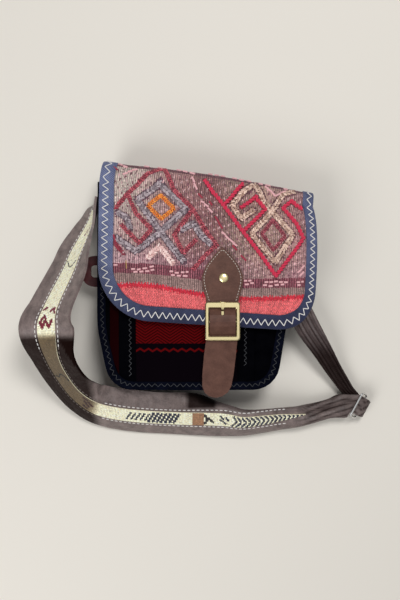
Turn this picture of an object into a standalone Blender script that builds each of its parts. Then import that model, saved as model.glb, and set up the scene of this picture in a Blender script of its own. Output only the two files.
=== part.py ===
# Kilim shoulder bag, lying on its back with its strap laid round it.
# Metres, +Z up. The back panel lies on the ground, the mouth points to +Y,
# and the flap, closed by a buckled leather strap, faces up.
import math

import bmesh
import bpy
from mathutils import Matrix, Vector

# Clearances
GAP = 0.0003
RUNNING_GAP = 0.0004
CUT_PAST = 0.0125

# Body of the bag
BODY_WIDTH = 0.195
BODY_HEIGHT = 0.212
BODY_DEPTH = 0.050
DEPTH_SAG_SIDES = 0.0045
DEPTH_SAG_ENDS = 0.0040
CORNER_RADIUS = 0.026
SHOULDER_RADIUS = 0.110
LEFT_TAPER = 0.013
LEFT_TAPER_RISE = 0.062
RIGHT_TAPER = 0.016
RIGHT_TAPER_RISE = 0.100
MOUTH_SLANT = 0.028
CLOTH = 0.0022
LINING = 0.0008
TRIM = 0.0012
EDGE_TAPE = 0.0070
SEAM_TAPE = 0.0070
STRIP_FROM_LEFT = 0.0115
STRIP_WIDTH = 0.0090
BAND_WIDTH = 0.0170
BAND_FROM_RIGHT = 0.0370

# Flap
FLAP_LEFT_LAP = -0.0015
FLAP_RIGHT_LAP = 0.0217
FLAP_LEFT_DROP = 0.1390
FLAP_RIGHT_DROP = 0.1250
FLAP_LEFT_CORNER = 0.052
FLAP_RIGHT_CORNER = 0.043
FLAP_BOW = 0.0045
FOLD_BULGE_LEFT = 0.0172
FOLD_BULGE_MIDDLE = 0.0035
FOLD_BULGE_RIGHT = 0.0125
FOLD_EARLY = 0.20
EDGE_BEND = 0.012
EDGE_SHORTENS = 0.0056
BINDING_WIDTH = 0.0150
BINDING_LEG = 0.0010

# Raised weave on the flap
BAND_HEIGHT = 0.0008
YARN_HEIGHT = 0.0021
YARN_WIDTH = 0.0036
LAYER_STEP = 0.00006
YARN_LIFT = 0.0005
FLAT_STEP = 0.018
FOLD_STEP = 0.0022

# Closure strap, stud, buckle and snap
STRAP_FROM_LEFT = 0.1255
LEATHER = 0.0018
LEAF_OVER_BUCKLE = 0.0550
BUCKLE_OVER_EDGE = 0.0242
TAIL_PAST_BOTTOM = 0.0085
LEAF_HALF = 0.0208
WAIST_HALF = 0.0130
TAIL_HALF = 0.0157
STUD_FROM_APEX = 0.0310
STUD_RADIUS = 0.0049
STUD_HEIGHT = 0.0018
STUD_POST = 0.0013
SNAP_RADIUS = 0.0080
SNAP_HALF = 0.0012
BUCKLE_WIDTH = 0.0345
BUCKLE_LENGTH = 0.0385
BUCKLE_BAR = 0.0030
BUCKLE_TOP_BAR = 0.0062
BUCKLE_SIDE_BAR = 0.0038
BUCKLE_LOW_BAR = 0.0044
HINGE_BAR_RADIUS = 0.0010
PRONG_EYE = 0.0010
PRONG_WIDTH = 0.0024

# Shoulder strap, its kilim stripe, the short strap, the ring and the side loop
STRAP_WIDTH = 0.060
STRAP_THICKNESS = 0.0026
STRIPE_HEIGHT = 0.0008
STRAP_END_WIDTH = 0.0205
SHORT_WIDTH = 0.0270
SHORT_END_WIDTH = 0.0120
SHORT_THICKNESS = 0.0022
CREASE = 0.0005
SPLINE_STEPS = 3
STRIPE_STARTS_AFTER = 3
STRIPE_ENDS_BEFORE = 9
RING_WIRE = 0.0011
RING_LENGTH = 0.0300
RING_REACH = 0.0125
RING_CORNER = 0.0032
RING_LIFT = 0.0008
RING_LEAN = 50
RING_FROM_RIGHT = 0.0806
RING_FROM_BOTTOM = 0.0242
LOOP_BAND = 0.0100
LOOP_GAP = 0.0125
LOOP_REACH = 0.0210
LOOP_THICKNESS = 0.0024

# Worked out from the sizes above
LEFT = -BODY_WIDTH / 2
RIGHT = BODY_WIDTH / 2
BOTTOM = -BODY_HEIGHT / 2 - 0.002
MOUTH_MIDDLE = BODY_HEIGHT / 2 - 0.017
SNAP_STACK = 2 * SNAP_HALF + 3 * GAP
FRONT_TRIM = GAP + TRIM
FLAP_SPAN = BODY_WIDTH + FLAP_LEFT_LAP + FLAP_RIGHT_LAP
FLAP_WIDTH = FLAP_SPAN + EDGE_SHORTENS
FLAP_DROP = (FLAP_LEFT_DROP + FLAP_RIGHT_DROP) / 2
KILIM_LOW = LINING + GAP
KILIM_TOP = KILIM_LOW + CLOTH
BINDING_TOP = KILIM_TOP + GAP + BINDING_LEG
FLAP_ROOT = BINDING_TOP + GAP
FOLD_LENGTH = 0.060
FOLD_ROWS = [-FOLD_LENGTH * share for share in (1, 0.94, 0.87, 0.77, 0.64, 0.50, 0.36, 0.23, 0.13, 0.06)]
SIDE_ROWS = [0, 0.025, 0.065, 0.12, 0.18, 0.26, 0.36, 0.48, 0.62, 0.80]

INDIGO = (0.045, 0.055, 0.130)
MAUVE = (0.26, 0.15, 0.15)
CRIMSON = (0.62, 0.03, 0.08)
BEIGE = (0.42, 0.32, 0.25)
ROSE = (0.30, 0.04, 0.07)
GREY_BLUE = (0.22, 0.22, 0.28)
ORANGE = (0.78, 0.24, 0.05)
CREAM = (0.80, 0.76, 0.58)
DARK_RED = (0.10, 0.012, 0.015)
NEAR_BLACK = (0.012, 0.012, 0.022)
BROWN = (0.11, 0.055, 0.042)
STRAP_BROWN = (0.13, 0.10, 0.10)
BRASS = (0.75, 0.60, 0.30)
STEEL = (0.80, 0.80, 0.80)


# Materials, meshes and surfaces

def material(name, colour, roughness, metallic=0.0):
    found = bpy.data.materials.get(name)
    if found:
        return found
    made = bpy.data.materials.new(name)
    made.use_nodes = True
    shader = made.node_tree.nodes["Principled BSDF"]
    shader.inputs["Base Color"].default_value = (*colour, 1.0)
    shader.inputs["Roughness"].default_value = roughness
    shader.inputs["Metallic"].default_value = metallic
    made.diffuse_color = (*colour, 1.0)
    return made


def add_object(name, points, faces, finish, smooth=30):
    """One closed mesh with its faces turned outwards."""
    mesh = bpy.data.meshes.new(name)
    shape = bmesh.new()
    corners = [shape.verts.new(point) for point in points]
    for face in faces:
        shape.faces.new([corners[i] for i in face])
    bmesh.ops.recalc_face_normals(shape, faces=shape.faces)
    shape.to_mesh(mesh)
    shape.free()
    mesh.shade_smooth()
    mesh.set_sharp_from_angle(angle=math.radians(smooth))
    made = bpy.data.objects.new(name, mesh)
    made.data.materials.append(finish)
    bpy.context.scene.collection.objects.link(made)
    return made


def loft(name, sections, finish, closed=False):
    """Joins loops of the same number of points; an open loft gets two end caps."""
    count = len(sections[0])
    points = [point for section in sections for point in section]
    spans = len(sections) if closed else len(sections) - 1
    faces = []
    for row in range(spans):
        here = row * count
        after = ((row + 1) % len(sections)) * count
        for i in range(count):
            j = (i + 1) % count
            faces.append((here + i, here + j, after + j, after + i))
    if not closed:
        last = (len(sections) - 1) * count
        half = count // 2
        for start in (0, last):
            for i in range(half - 1):
                faces.append((start + i, start + i + 1, start + count - 2 - i, start + count - 1 - i))
    return add_object(name, points, faces, finish)


def sheet(name, grid, place, low, high, finish):
    """A cloth over a grid of (u, v) places: place(u, v, h) gives the point at height h."""
    sections = []
    for row in grid:
        top = [place(u, v, high) for u, v in row]
        under = [place(u, v, low) for u, v in reversed(row)]
        sections.append(top + under)
    return loft(name, sections, finish)


def panel(name, outline, middle, rings, low, high, finish):
    """A closed panel inside an outline, with its faces at the heights low(x, y) and high(x, y)."""
    points = []
    faces = []
    count = len(outline)
    for surface in (high, low):
        for ring in range(rings):
            share = 1 - ring / rings
            for x, y in outline:
                px = middle[0] + (x - middle[0]) * share
                py = middle[1] + (y - middle[1]) * share
                points.append((px, py, surface(px, py)))
        points.append((*middle, surface(*middle)))
    face_points = rings * count + 1
    for start in (0, face_points):
        for ring in range(rings - 1):
            here = start + ring * count
            for i in range(count):
                j = (i + 1) % count
                faces.append((here + i, here + j, here + count + j, here + count + i))
        inner = start + (rings - 1) * count
        for i in range(count):
            faces.append((inner + i, inner + (i + 1) % count, start + rings * count))
    for i in range(count):
        j = (i + 1) % count
        faces.append((i, j, face_points + j, face_points + i))
    return add_object(name, points, faces, finish)


def boolean(target, other, operation="DIFFERENCE", itself=False):
    """Cuts or joins with the exact solver, and leaves the result as plain mesh."""
    change = target.modifiers.new("cut", "BOOLEAN")
    change.operation = operation
    change.object = other
    change.use_self = itself
    graph = bpy.context.evaluated_depsgraph_get()
    result = bpy.data.meshes.new_from_object(target.evaluated_get(graph))
    target.modifiers.remove(change)
    target.data = result
    bpy.data.objects.remove(other)
    return target


def turned(name, profile, origin, axis, finish, steps=24):
    """Turns (radius, height) points about an axis; the profile starts and ends on the axis."""
    lift = Vector(axis).normalized()
    side = lift.orthogonal().normalized()
    other = lift.cross(side)
    points = [origin + lift * profile[0][1]]
    faces = []
    inner = profile[1:-1]
    for radius, height in inner:
        for k in range(steps):
            turn = 2 * math.pi * k / steps
            around = side * math.cos(turn) + other * math.sin(turn)
            points.append(origin + around * radius + lift * height)
    points.append(origin + lift * profile[-1][1])
    last = len(points) - 1
    for k in range(steps):
        j = (k + 1) % steps
        faces.append((0, 1 + k, 1 + j))
        for row in range(len(inner) - 1):
            here = 1 + row * steps
            after = here + steps
            faces.append((here + k, after + k, after + j, here + j))
        start = 1 + (len(inner) - 1) * steps
        faces.append((last, start + j, start + k))
    return add_object(name, points, faces, finish)


def fillet(corners, radii, steps=6):
    """Replaces each corner of an outline by an arc of its radius."""
    rounded = []
    count = len(corners)
    for i, radius in enumerate(radii):
        corner = Vector(corners[i])
        if radius == 0:
            rounded.append(tuple(corner))
            continue
        before = (Vector(corners[i - 1]) - corner).normalized()
        after = (Vector(corners[(i + 1) % count]) - corner).normalized()
        half = before.angle(after) / 2
        reach = radius / math.tan(half)
        centre = corner + (before + after).normalized() * (radius / math.sin(half))
        start = corner + before * reach - centre
        sweep = start.angle_signed(corner + after * reach - centre)
        for step in range(steps + 1):
            turn = Matrix.Rotation(-sweep * step / steps, 2)
            rounded.append(tuple(centre + turn @ start))
    return rounded


def spline(rows, steps):
    """A smooth row of numbers through the given rows, with so many steps in each span."""
    made = []
    for i in range(len(rows) - 1):
        before = rows[max(i - 1, 0)]
        start = rows[i]
        end = rows[i + 1]
        after = rows[min(i + 2, len(rows) - 1)]
        for step in range(steps):
            t = step / steps
            made.append([
                0.5 * (2 * b + (c - a) * t + (2 * a - 5 * b + 4 * c - d) * t ** 2
                       + (3 * b - a - 3 * c + d) * t ** 3)
                for a, b, c, d in zip(before, start, end, after)
            ])
    made.append(list(rows[-1]))
    return made


# Body

def mouth(x):
    """The slanted line where the mouth opens and the flap is sewn on."""
    return MOUTH_MIDDLE - MOUTH_SLANT * x / BODY_WIDTH


def front_height(x, y):
    """Outer face of the front panel, a shallow dome over the filled bag."""
    side = x / (BODY_WIDTH / 2)
    end = y / (BODY_HEIGHT / 2)
    return BODY_DEPTH - DEPTH_SAG_SIDES * side ** 2 - DEPTH_SAG_ENDS * end ** 2


def body_outline(inset=0.0, steps=6):
    """The body seen from the front, from the mouth's left end round the bottom to its right end."""
    corners = [
        (LEFT + inset, mouth(LEFT) - GAP),
        (LEFT + inset, BOTTOM + LEFT_TAPER_RISE),
        (LEFT + LEFT_TAPER + inset, BOTTOM + inset),
        (RIGHT - RIGHT_TAPER - inset, BOTTOM + inset),
        (RIGHT - inset, BOTTOM + RIGHT_TAPER_RISE),
        (RIGHT - inset, mouth(RIGHT) - GAP),
    ]
    corner = CORNER_RADIUS - inset
    radii = [0, SHOULDER_RADIUS, corner, corner, SHOULDER_RADIUS, 0]
    return fillet(corners, radii, steps)


def with_mouth_edge(outline, steps=8):
    """Closes a body outline with points along the mouth."""
    end = Vector(outline[-1])
    start = Vector(outline[0])
    return outline + [tuple(end.lerp(start, k / steps)) for k in range(1, steps)]


def dense(outline, longest=0.018):
    """Splits the long straight stretches, so that every stretch can follow the dome."""
    points = []
    for here, after in zip(outline, outline[1:]):
        start = Vector(here)
        pieces = max(1, round((Vector(after) - start).length / longest))
        points += [tuple(start.lerp(Vector(after), k / pieces)) for k in range(pieces)]
    return points + [outline[-1]]


def body_ring(name, profile, finish):
    """Sweeps a profile of (inset, height function) corners round the sides and bottom."""
    paths = {inset: dense(body_outline(inset)) for inset, _ in profile}
    count = min(len(path) for path in paths.values())
    sections = []
    for i in range(count):
        section = []
        for inset, height in profile:
            x, y = paths[inset][i]
            section.append((x, y, height(x, y)))
        sections.append(section)
    return loft(name, sections, finish)


def under_front(depth):
    return lambda x, y: front_height(x, y) - depth


def level(height):
    return lambda x, y: height


def make_body():
    indigo = material("indigo_cloth", INDIGO, 0.9)
    dark = material("front_cloth", NEAR_BLACK, 0.9)
    outline = with_mouth_edge(dense(body_outline()))
    middle = (0.0, 0.0)
    panel("back_panel", outline, middle, 2, level(0.0), level(CLOTH), indigo)
    panel("front_panel", outline, middle, 4, under_front(CLOTH), front_height, dark)
    wall_low = level(CLOTH + GAP)
    wall_high = under_front(CLOTH + GAP)
    body_ring("gusset", [(0.0, wall_low), (CLOTH, wall_low), (CLOTH, wall_high), (0.0, wall_high)], indigo)


def make_lining():
    """The pouch inside: one skin all round, open at the mouth."""
    finish = material("lining_cloth", (0.16, 0.13, 0.11), 0.85)
    inset = CLOTH + GAP
    outer = with_mouth_edge(dense(body_outline(inset)))
    low = CLOTH + GAP
    pouch = panel("lining", outer, (0.0, 0.0), 4, level(low), under_front(low), finish)
    hollow_outline = body_outline(inset + LINING)
    hollow_outline[0] = (hollow_outline[0][0], mouth(LEFT) + CUT_PAST)
    hollow_outline[-1] = (hollow_outline[-1][0], mouth(RIGHT) + CUT_PAST)
    inner = with_mouth_edge(dense(hollow_outline))
    hollow = panel("hollow", inner, (0.0, 0.0), 4, level(low + LINING), under_front(low + LINING), finish)
    return boolean(pouch, hollow)


def make_edge_tapes():
    """The bound edge of the front panel and the taped seam at the back."""
    indigo = material("indigo_cloth", INDIGO, 0.9)
    outside = -GAP - TRIM
    above = under_front(-GAP)
    over = under_front(-GAP - TRIM)
    side_low = under_front(EDGE_TAPE)
    profile = [
        (outside, side_low), (outside, over), (EDGE_TAPE, over),
        (EDGE_TAPE, above), (-GAP, above), (-GAP, side_low),
    ]
    body_ring("front_binding", profile, indigo)
    seam = [
        (outside, level(GAP)), (outside, level(SEAM_TAPE)),
        (-GAP, level(SEAM_TAPE)), (-GAP, level(GAP)),
    ]
    body_ring("back_binding", seam, indigo)


def lower_edge(x, inset):
    """How far down the front a patch can run at x, inside an inset of the outline."""
    outline = body_outline(inset, 12)
    lowest = mouth(x)
    for (x0, y0), (x1, y1) in zip(outline, outline[1:]):
        if min(x0, x1) <= x <= max(x0, x1) and abs(x1 - x0) > 1e-9:
            y = y0 + (y1 - y0) * (x - x0) / (x1 - x0)
            lowest = min(lowest, y)
    return lowest


def front_patch(name, left, right, finish, columns, rows=10):
    """A strip of cloth sewn on the front panel, from the mouth down to the bound edge."""
    inset = EDGE_TAPE + GAP
    grid = []
    for row in range(rows + 1):
        places = []
        for column in range(columns + 1):
            x = left + (right - left) * column / columns
            top = mouth(x) - EDGE_TAPE
            low = lower_edge(x, inset)
            places.append((x, top + (low - top) * row / rows))
        grid.append(places)

    def on_front(x, y, h):
        return (x, y, front_height(x, y) + h)
    return sheet(name, grid, on_front, GAP, GAP + TRIM, finish)


FRONT_STRIP = (LEFT + STRIP_FROM_LEFT, LEFT + STRIP_FROM_LEFT + STRIP_WIDTH)
FRONT_LEFT_BAND = (FRONT_STRIP[1] + GAP, FRONT_STRIP[1] + GAP + BAND_WIDTH)
FRONT_RIGHT_BAND = (RIGHT - BAND_FROM_RIGHT - BAND_WIDTH, RIGHT - BAND_FROM_RIGHT)
FRONT_KILIM = (FRONT_LEFT_BAND[1] + GAP, FRONT_RIGHT_BAND[0] - GAP)


def make_front_patches():
    dark = material("front_cloth", NEAR_BLACK, 0.9)
    red = material("front_kilim_wool", DARK_RED, 0.95)
    front_patch("front_red_strip", *FRONT_STRIP, red, 2)
    front_patch("front_band_left", *FRONT_LEFT_BAND, dark, 3)
    front_patch("front_kilim", *FRONT_KILIM, red, 10)
    front_patch("front_band_right", *FRONT_RIGHT_BAND, dark, 3)


# Flap, in its own terms: a across from its left edge, b down from the fold, h outwards

def flap_edges():
    fold_left = Vector((LEFT - FLAP_LEFT_LAP, mouth(LEFT)))
    fold_right = Vector((RIGHT + FLAP_RIGHT_LAP, mouth(RIGHT)))
    low_left = Vector((fold_left.x - 0.002, fold_left.y - FLAP_LEFT_DROP))
    low_right = Vector((fold_right.x, fold_right.y - FLAP_RIGHT_DROP))
    return fold_left, fold_right, low_left, low_right


def edge_bend(a):
    """How far the flap has drawn in towards its right edge at a: 0 on the flat, 1 at the edge."""
    past = a - (FLAP_WIDTH - BINDING_WIDTH - EDGE_BEND)
    if past <= 0:
        return 0.0
    bent = past ** 2 / (2 * EDGE_BEND) if past < EDGE_BEND else past - EDGE_BEND / 2
    return bent / (EDGE_BEND / 2 + BINDING_WIDTH)


def flap_plan(a, b):
    fold_left, fold_right, low_left, low_right = flap_edges()
    across = (a - EDGE_SHORTENS * edge_bend(a)) / FLAP_SPAN
    fold = fold_left.lerp(fold_right, across)
    low = low_left.lerp(low_right, across)
    down = b / FLAP_DROP
    bow = FLAP_BOW * across * math.sin(math.pi * min(down, 1.0) ** 0.6) if down > 0 else 0.0
    return fold.lerp(low, down) + Vector((bow, 0))


def flap_rest_height(x, y):
    """Underside of the flap over the trimmed front, with the snap between."""
    return front_height(x, y) + FRONT_TRIM + SNAP_STACK


def flap_surface(a, b):
    plan = flap_plan(a, max(b, 0))
    top = flap_rest_height(plan.x, plan.y)
    if b >= 0:
        return Vector((plan.x, plan.y, top))
    fold_left, fold_right, _, _ = flap_edges()
    along = (fold_right - fold_left).normalized()
    outward = Vector((-along.y, along.x))
    turn = min(-b / FOLD_LENGTH, 1.0) * math.pi
    share = a / FLAP_WIDTH
    bulge = FOLD_BULGE_LEFT + (FOLD_BULGE_RIGHT - FOLD_BULGE_LEFT) * share
    bulge += FOLD_BULGE_MIDDLE * math.sin(math.pi * share)
    reach = plan + outward * (bulge * math.sin(turn + FOLD_EARLY * math.pi * math.sin(turn)))
    height = (top + FLAP_ROOT) / 2 + (top - FLAP_ROOT) / 2 * math.cos(turn)
    return Vector((reach.x, reach.y, height))


def flap_place(a, b, h):
    step = 0.0005
    here = flap_surface(a, b)
    across = flap_surface(a + step, b) - flap_surface(a - step, b)
    behind = flap_surface(a, max(b - step, -FOLD_LENGTH))
    down = flap_surface(a, b + step) - behind
    return here + down.cross(across).normalized() * h


def flap_corner_inset(b, radius, inset):
    """How far the rounded corner pulls the edge in at b, for an outline moved in by inset."""
    reach = radius - inset
    below = b - (FLAP_DROP - radius)
    if below <= 0:
        return inset
    below = min(below, reach)
    return inset + reach - math.sqrt(reach ** 2 - below ** 2)


def flap_rows(inset):
    """Heights of the rows down the flap, closer together round the fold and the corners."""
    radius = max(FLAP_LEFT_CORNER, FLAP_RIGHT_CORNER)
    straight = [(FLAP_DROP - radius) * share for share in SIDE_ROWS]
    reach = radius - inset
    corner = [FLAP_DROP - radius + reach * math.sin(math.pi / 2 * k / 8) for k in range(9)]
    return FOLD_ROWS + straight + corner


def flap_grid(inset, columns=8):
    """Places in even columns, then one at the binding's inner edge and one at the flap's edge."""
    grid = []
    for b in flap_rows(inset):
        left = flap_corner_inset(b, FLAP_LEFT_CORNER, inset)
        right = FLAP_WIDTH - flap_corner_inset(b, FLAP_RIGHT_CORNER, inset)
        bound = right + inset - BINDING_WIDTH
        flat = bound - EDGE_BEND
        across = [left + (flat - left) * k / columns for k in range(columns + 1)] + [bound, right]
        grid.append([(a, b) for a in across])
    return grid


def flap_border(inset, steps=8):
    """The edge of the flap moved in by inset: down the left side, along the bottom, up the right."""
    left = FLAP_LEFT_CORNER - inset
    right = FLAP_RIGHT_CORNER - inset
    fold = FOLD_ROWS + [0.0]
    path = [(inset, b) for b in fold]
    bend = FLAP_DROP - FLAP_LEFT_CORNER
    path += [(inset, bend * share) for share in SIDE_ROWS[1:]]
    for k in range(steps + 1):
        turn = math.pi / 2 * k / steps
        path.append((inset + left * (1 - math.cos(turn)), bend + left * math.sin(turn)))
    bend = FLAP_DROP - FLAP_RIGHT_CORNER
    start = FLAP_LEFT_CORNER
    end = FLAP_WIDTH - FLAP_RIGHT_CORNER
    path += [(start + (end - start) * k / 8, FLAP_DROP - inset) for k in range(1, 8)]
    for k in range(steps, -1, -1):
        turn = math.pi / 2 * k / steps
        path.append((FLAP_WIDTH - inset - right * (1 - math.cos(turn)), bend + right * math.sin(turn)))
    path += [(FLAP_WIDTH - inset, bend * share) for share in reversed(SIDE_ROWS[1:])]
    path += [(FLAP_WIDTH - inset, b) for b in reversed(fold)]
    return path


def make_flap():
    wool = material("flap_kilim_wool", MAUVE, 0.95)
    backing = material("lining_cloth", (0.16, 0.13, 0.11), 0.85)
    indigo = material("indigo_cloth", INDIGO, 0.9)
    grid = flap_grid(BINDING_LEG + GAP)
    sheet("flap_kilim", grid, flap_place, KILIM_LOW, KILIM_TOP, wool)
    sheet("flap_lining", grid, flap_place, 0.0, LINING, backing)
    borders = [
        (0.0, BINDING_TOP), (BINDING_WIDTH, BINDING_TOP), (BINDING_WIDTH, KILIM_TOP + GAP),
        (BINDING_LEG, KILIM_TOP + GAP), (BINDING_LEG, -GAP), (BINDING_WIDTH, -GAP),
        (BINDING_WIDTH, -GAP - BINDING_LEG), (0.0, -GAP - BINDING_LEG),
    ]
    paths = {inset: flap_border(inset) for inset, _ in borders}
    sections = []
    for i in range(len(paths[0.0])):
        sections.append([flap_place(*paths[inset][i], h) for inset, h in borders])
    loft_c_section("flap_binding", sections, indigo)


def loft_c_section(name, sections, finish):
    """A loft of the binding's C section, whose ends are capped leg by leg."""
    count = 8
    points = [point for section in sections for point in section]
    faces = []
    for row in range(len(sections) - 1):
        here = row * count
        after = here + count
        for i in range(count):
            j = (i + 1) % count
            faces.append((here + i, here + j, after + j, after + i))
    for start in (0, (len(sections) - 1) * count):
        faces.append((start, start + 1, start + 2, start + 3))
        faces.append((start, start + 3, start + 4, start + 7))
        faces.append((start + 4, start + 5, start + 6, start + 7))
    return add_object(name, points, faces, finish)


# Raised weave: bands and twisted yarns laid over the flap as in the woven pattern

def ribbon(path, width, low, high, finish):
    """A strip of even width along a path of (a, b) places; a path that ends where it starts is a ring."""
    closed = path[0] == path[-1]
    line = [Vector(p) for p in (path[:-1] if closed else path)]
    edges = []
    for i, here in enumerate(line):
        before = (here - line[i - 1]).normalized() if i or closed else None
        after = (line[(i + 1) % len(line)] - here).normalized() if i + 1 < len(line) or closed else None
        before = before or after
        after = after or before
        heading = (before + after).normalized()
        side = Vector((heading.y, -heading.x))
        spread = width / 2 / max(side.dot(Vector((after.y, -after.x))), 0.5)
        edges.append((here + side * spread, here - side * spread))
    if closed:
        edges.append(edges[0])
    sections = []
    for (left, right), (next_left, next_right) in zip(edges, edges[1:]):
        highest = min(left.y, right.y, next_left.y, next_right.y)
        longest = FOLD_STEP if highest < 0.002 else FLAT_STEP
        pieces = max(1, math.ceil((next_left - left).length / longest))
        for k in range(pieces):
            sections.append((left.lerp(next_left, k / pieces), right.lerp(next_right, k / pieces)))
    if not closed:
        sections.append(edges[-1])
    loops = [[
        flap_place(*left, high), flap_place(*right, high), flap_place(*right, low), flap_place(*left, low),
    ] for left, right in sections]
    return loft("ribbon", loops, finish, closed)


def motif(name, strips, width, height, finish):
    """Several crossing strips joined into one raised shape, each a hair higher than the last."""
    low = KILIM_TOP + YARN_LIFT
    pieces = []
    for i, path in enumerate(strips):
        step = i * LAYER_STEP
        pieces.append(ribbon(path, width, low + step, low + height + step, finish))
    whole = pieces[0]
    for piece in pieces[1:]:
        whole = boolean(whole, piece, "UNION")
    whole.name = name
    return whole


# One unit of the woven pattern: a 213th of the flap's span, a 132nd of its drop.
ACROSS = FLAP_SPAN / 213
DOWN = FLAP_DROP / 132
LEFT_MOTIF = (61.0, 19.5)
RIGHT_MOTIF = (166.9, 34.9)


def around(centre, points):
    """Points given in units of the pattern from a motif's middle, as places on the flap."""
    return [((centre[0] + a) * ACROSS, (centre[1] + b) * DOWN) for a, b in points]


def diamond(centre, half_width, half_height):
    top = (0, -half_height)
    return around(centre, [top, (half_width, 0), (0, half_height), (-half_width, 0), top])


def make_right_motif():
    crimson = material("crimson_yarn", CRIMSON, 0.85)
    centre = RIGHT_MOTIF
    edge = (FLAP_WIDTH - BINDING_WIDTH - GAP - YARN_WIDTH / 2) / ACROSS - centre[0]
    frame = [(-63.5, -43.2), (-51.4, -34.3), (-42.5, -21.5), (-26.7, -0.2), (-9.4, 21.3), (6.1, 41.8),
             (edge - 2, -0.7), (26.1, -14.9), (14.2, -30.1), (24.6, -37.9), (edge, -31.6)]
    branch = [(-43.5, -26.1), (-33.3, -36.7), (-25.5, -44.6)]
    hook = [(-26.4, -0.4), (-3.8, -26), (-11.3, -37.2), (-28, -24.2)]
    strips = [around(centre, path) for path in (frame, branch, hook)]
    motif("crimson_hooks", strips, YARN_WIDTH, YARN_HEIGHT, crimson)
    beige = material("beige_wool", BEIGE, 0.95)
    lozenge = [(-6.8, 14.4), (-18.5, 1.2), (2.8, -24.5), (22, -3), (4.9, 27.6), (-6.8, 14.4)]
    upper_left = [(2.8, -24.5), (-6.3, -38.8), (-14.1, -46.5), (-25, -38.5), (-36.8, -26.2), (-27.9, -13.3),
                  (-15.3, -23.6)]
    upper_right = [(2.3, -24), (16.2, -42.9), (26, -46.5)]
    strips = [around(centre, path) for path in (lozenge, upper_left, upper_right)]
    motif("beige_lozenge", strips, 0.0042, BAND_HEIGHT, beige)
    rose = material("rose_wool", ROSE, 0.95)
    motif("rose_lozenge", [diamond((centre[0] + 3, centre[1] - 0.4), 11.2, 15.4)], 0.0034, BAND_HEIGHT, rose)


def make_left_motif():
    rose = material("rose_wool", ROSE, 0.95)
    centre = LEFT_MOTIF
    outline = [(-43.6, 4.6), (-31.9, -10.5), (-14.5, -27.5), (0.5, -34.5), (15, -16.9), (30.7, -2),
               (43.8, 19.4), (54, 31.9), (44.1, 42.2), (32, 57.9)]
    left_hook = [(-32.7, -8.8), (-24.3, 8.8), (-9.3, 22.8), (-20.9, 37.4), (-38.3, 21.3)]
    right_hook = [(31.2, -2), (12.9, 25.8), (22, 42.9), (33.6, 28.9)]
    strips = [around(centre, path) for path in (outline, left_hook, right_hook)]
    motif("rose_hooks", strips, 0.0034, YARN_HEIGHT * 0.7, rose)
    grey = material("grey_wool", GREY_BLUE, 0.95)
    lozenge = [(-11.7, 9.7), (-22.9, -4.8), (-0.4, -22.4), (24, -1.2), (-0.4, 24.2), (-11.7, 9.7)]
    left_arm = [(0.3, 23.5), (-23.7, 45.8), (-43, 34.6)]
    right_arm = [(-1.2, 23.4), (12.6, 40.2), (22.5, 51)]
    strips = [around(centre, path) for path in (lozenge, left_arm, right_arm)]
    motif("grey_lozenge", strips, 0.0042, BAND_HEIGHT, grey)
    orange = material("orange_wool", ORANGE, 0.9)
    motif("orange_lozenge", [diamond(centre, 12.6, 11.6)], 0.0032, BAND_HEIGHT * 1.5, orange)
    pink = material("pink_wool", (0.62, 0.32, 0.32), 0.95)
    chevron = around(centre, [(-11.8, 50.4), (-0.9, 38.6), (12, 54)])
    motif("pink_chevron", [chevron], 0.0038, BAND_HEIGHT, pink)


# Closure: leather strap, stud, snap and buckle, all on the slope of the dome under them

STRAP_X = LEFT + STRAP_FROM_LEFT
SLOPE = -2 * DEPTH_SAG_SIDES * STRAP_X / (BODY_WIDTH / 2) ** 2
FLAP_EDGE = flap_plan(STRAP_X - LEFT + FLAP_LEFT_LAP, FLAP_DROP).y
BUCKLE_TOP = FLAP_EDGE + BUCKLE_OVER_EDGE
LEAF_TOP = BUCKLE_TOP + LEAF_OVER_BUCKLE
TAIL_TIP = BOTTOM - TAIL_PAST_BOTTOM
HINGE_Y = BUCKLE_TOP - BUCKLE_LENGTH / 2 - 0.0006
EYE_RADIUS = HINGE_BAR_RADIUS + RUNNING_GAP + PRONG_EYE


def over_flap(y, height):
    return flap_rest_height(STRAP_X, y) + height


LEATHER_UNDER_BAR = over_flap(BUCKLE_TOP, KILIM_TOP + GAP)
FRAME_LOW = LEATHER_UNDER_BAR + LEATHER + GAP
FRAME_TOP = FRAME_LOW + BUCKLE_BAR
HINGE_Z = over_flap(HINGE_Y, BINDING_TOP + GAP) + EYE_RADIUS
NOTCH_DEPTH = 0.0008
PRONG_HALF = 0.0008
TIP_Z = FRAME_TOP - NOTCH_DEPTH + GAP + PRONG_HALF


def closure_place(x, y, z):
    return Vector((x, y, z + SLOPE * (x - STRAP_X)))


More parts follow.
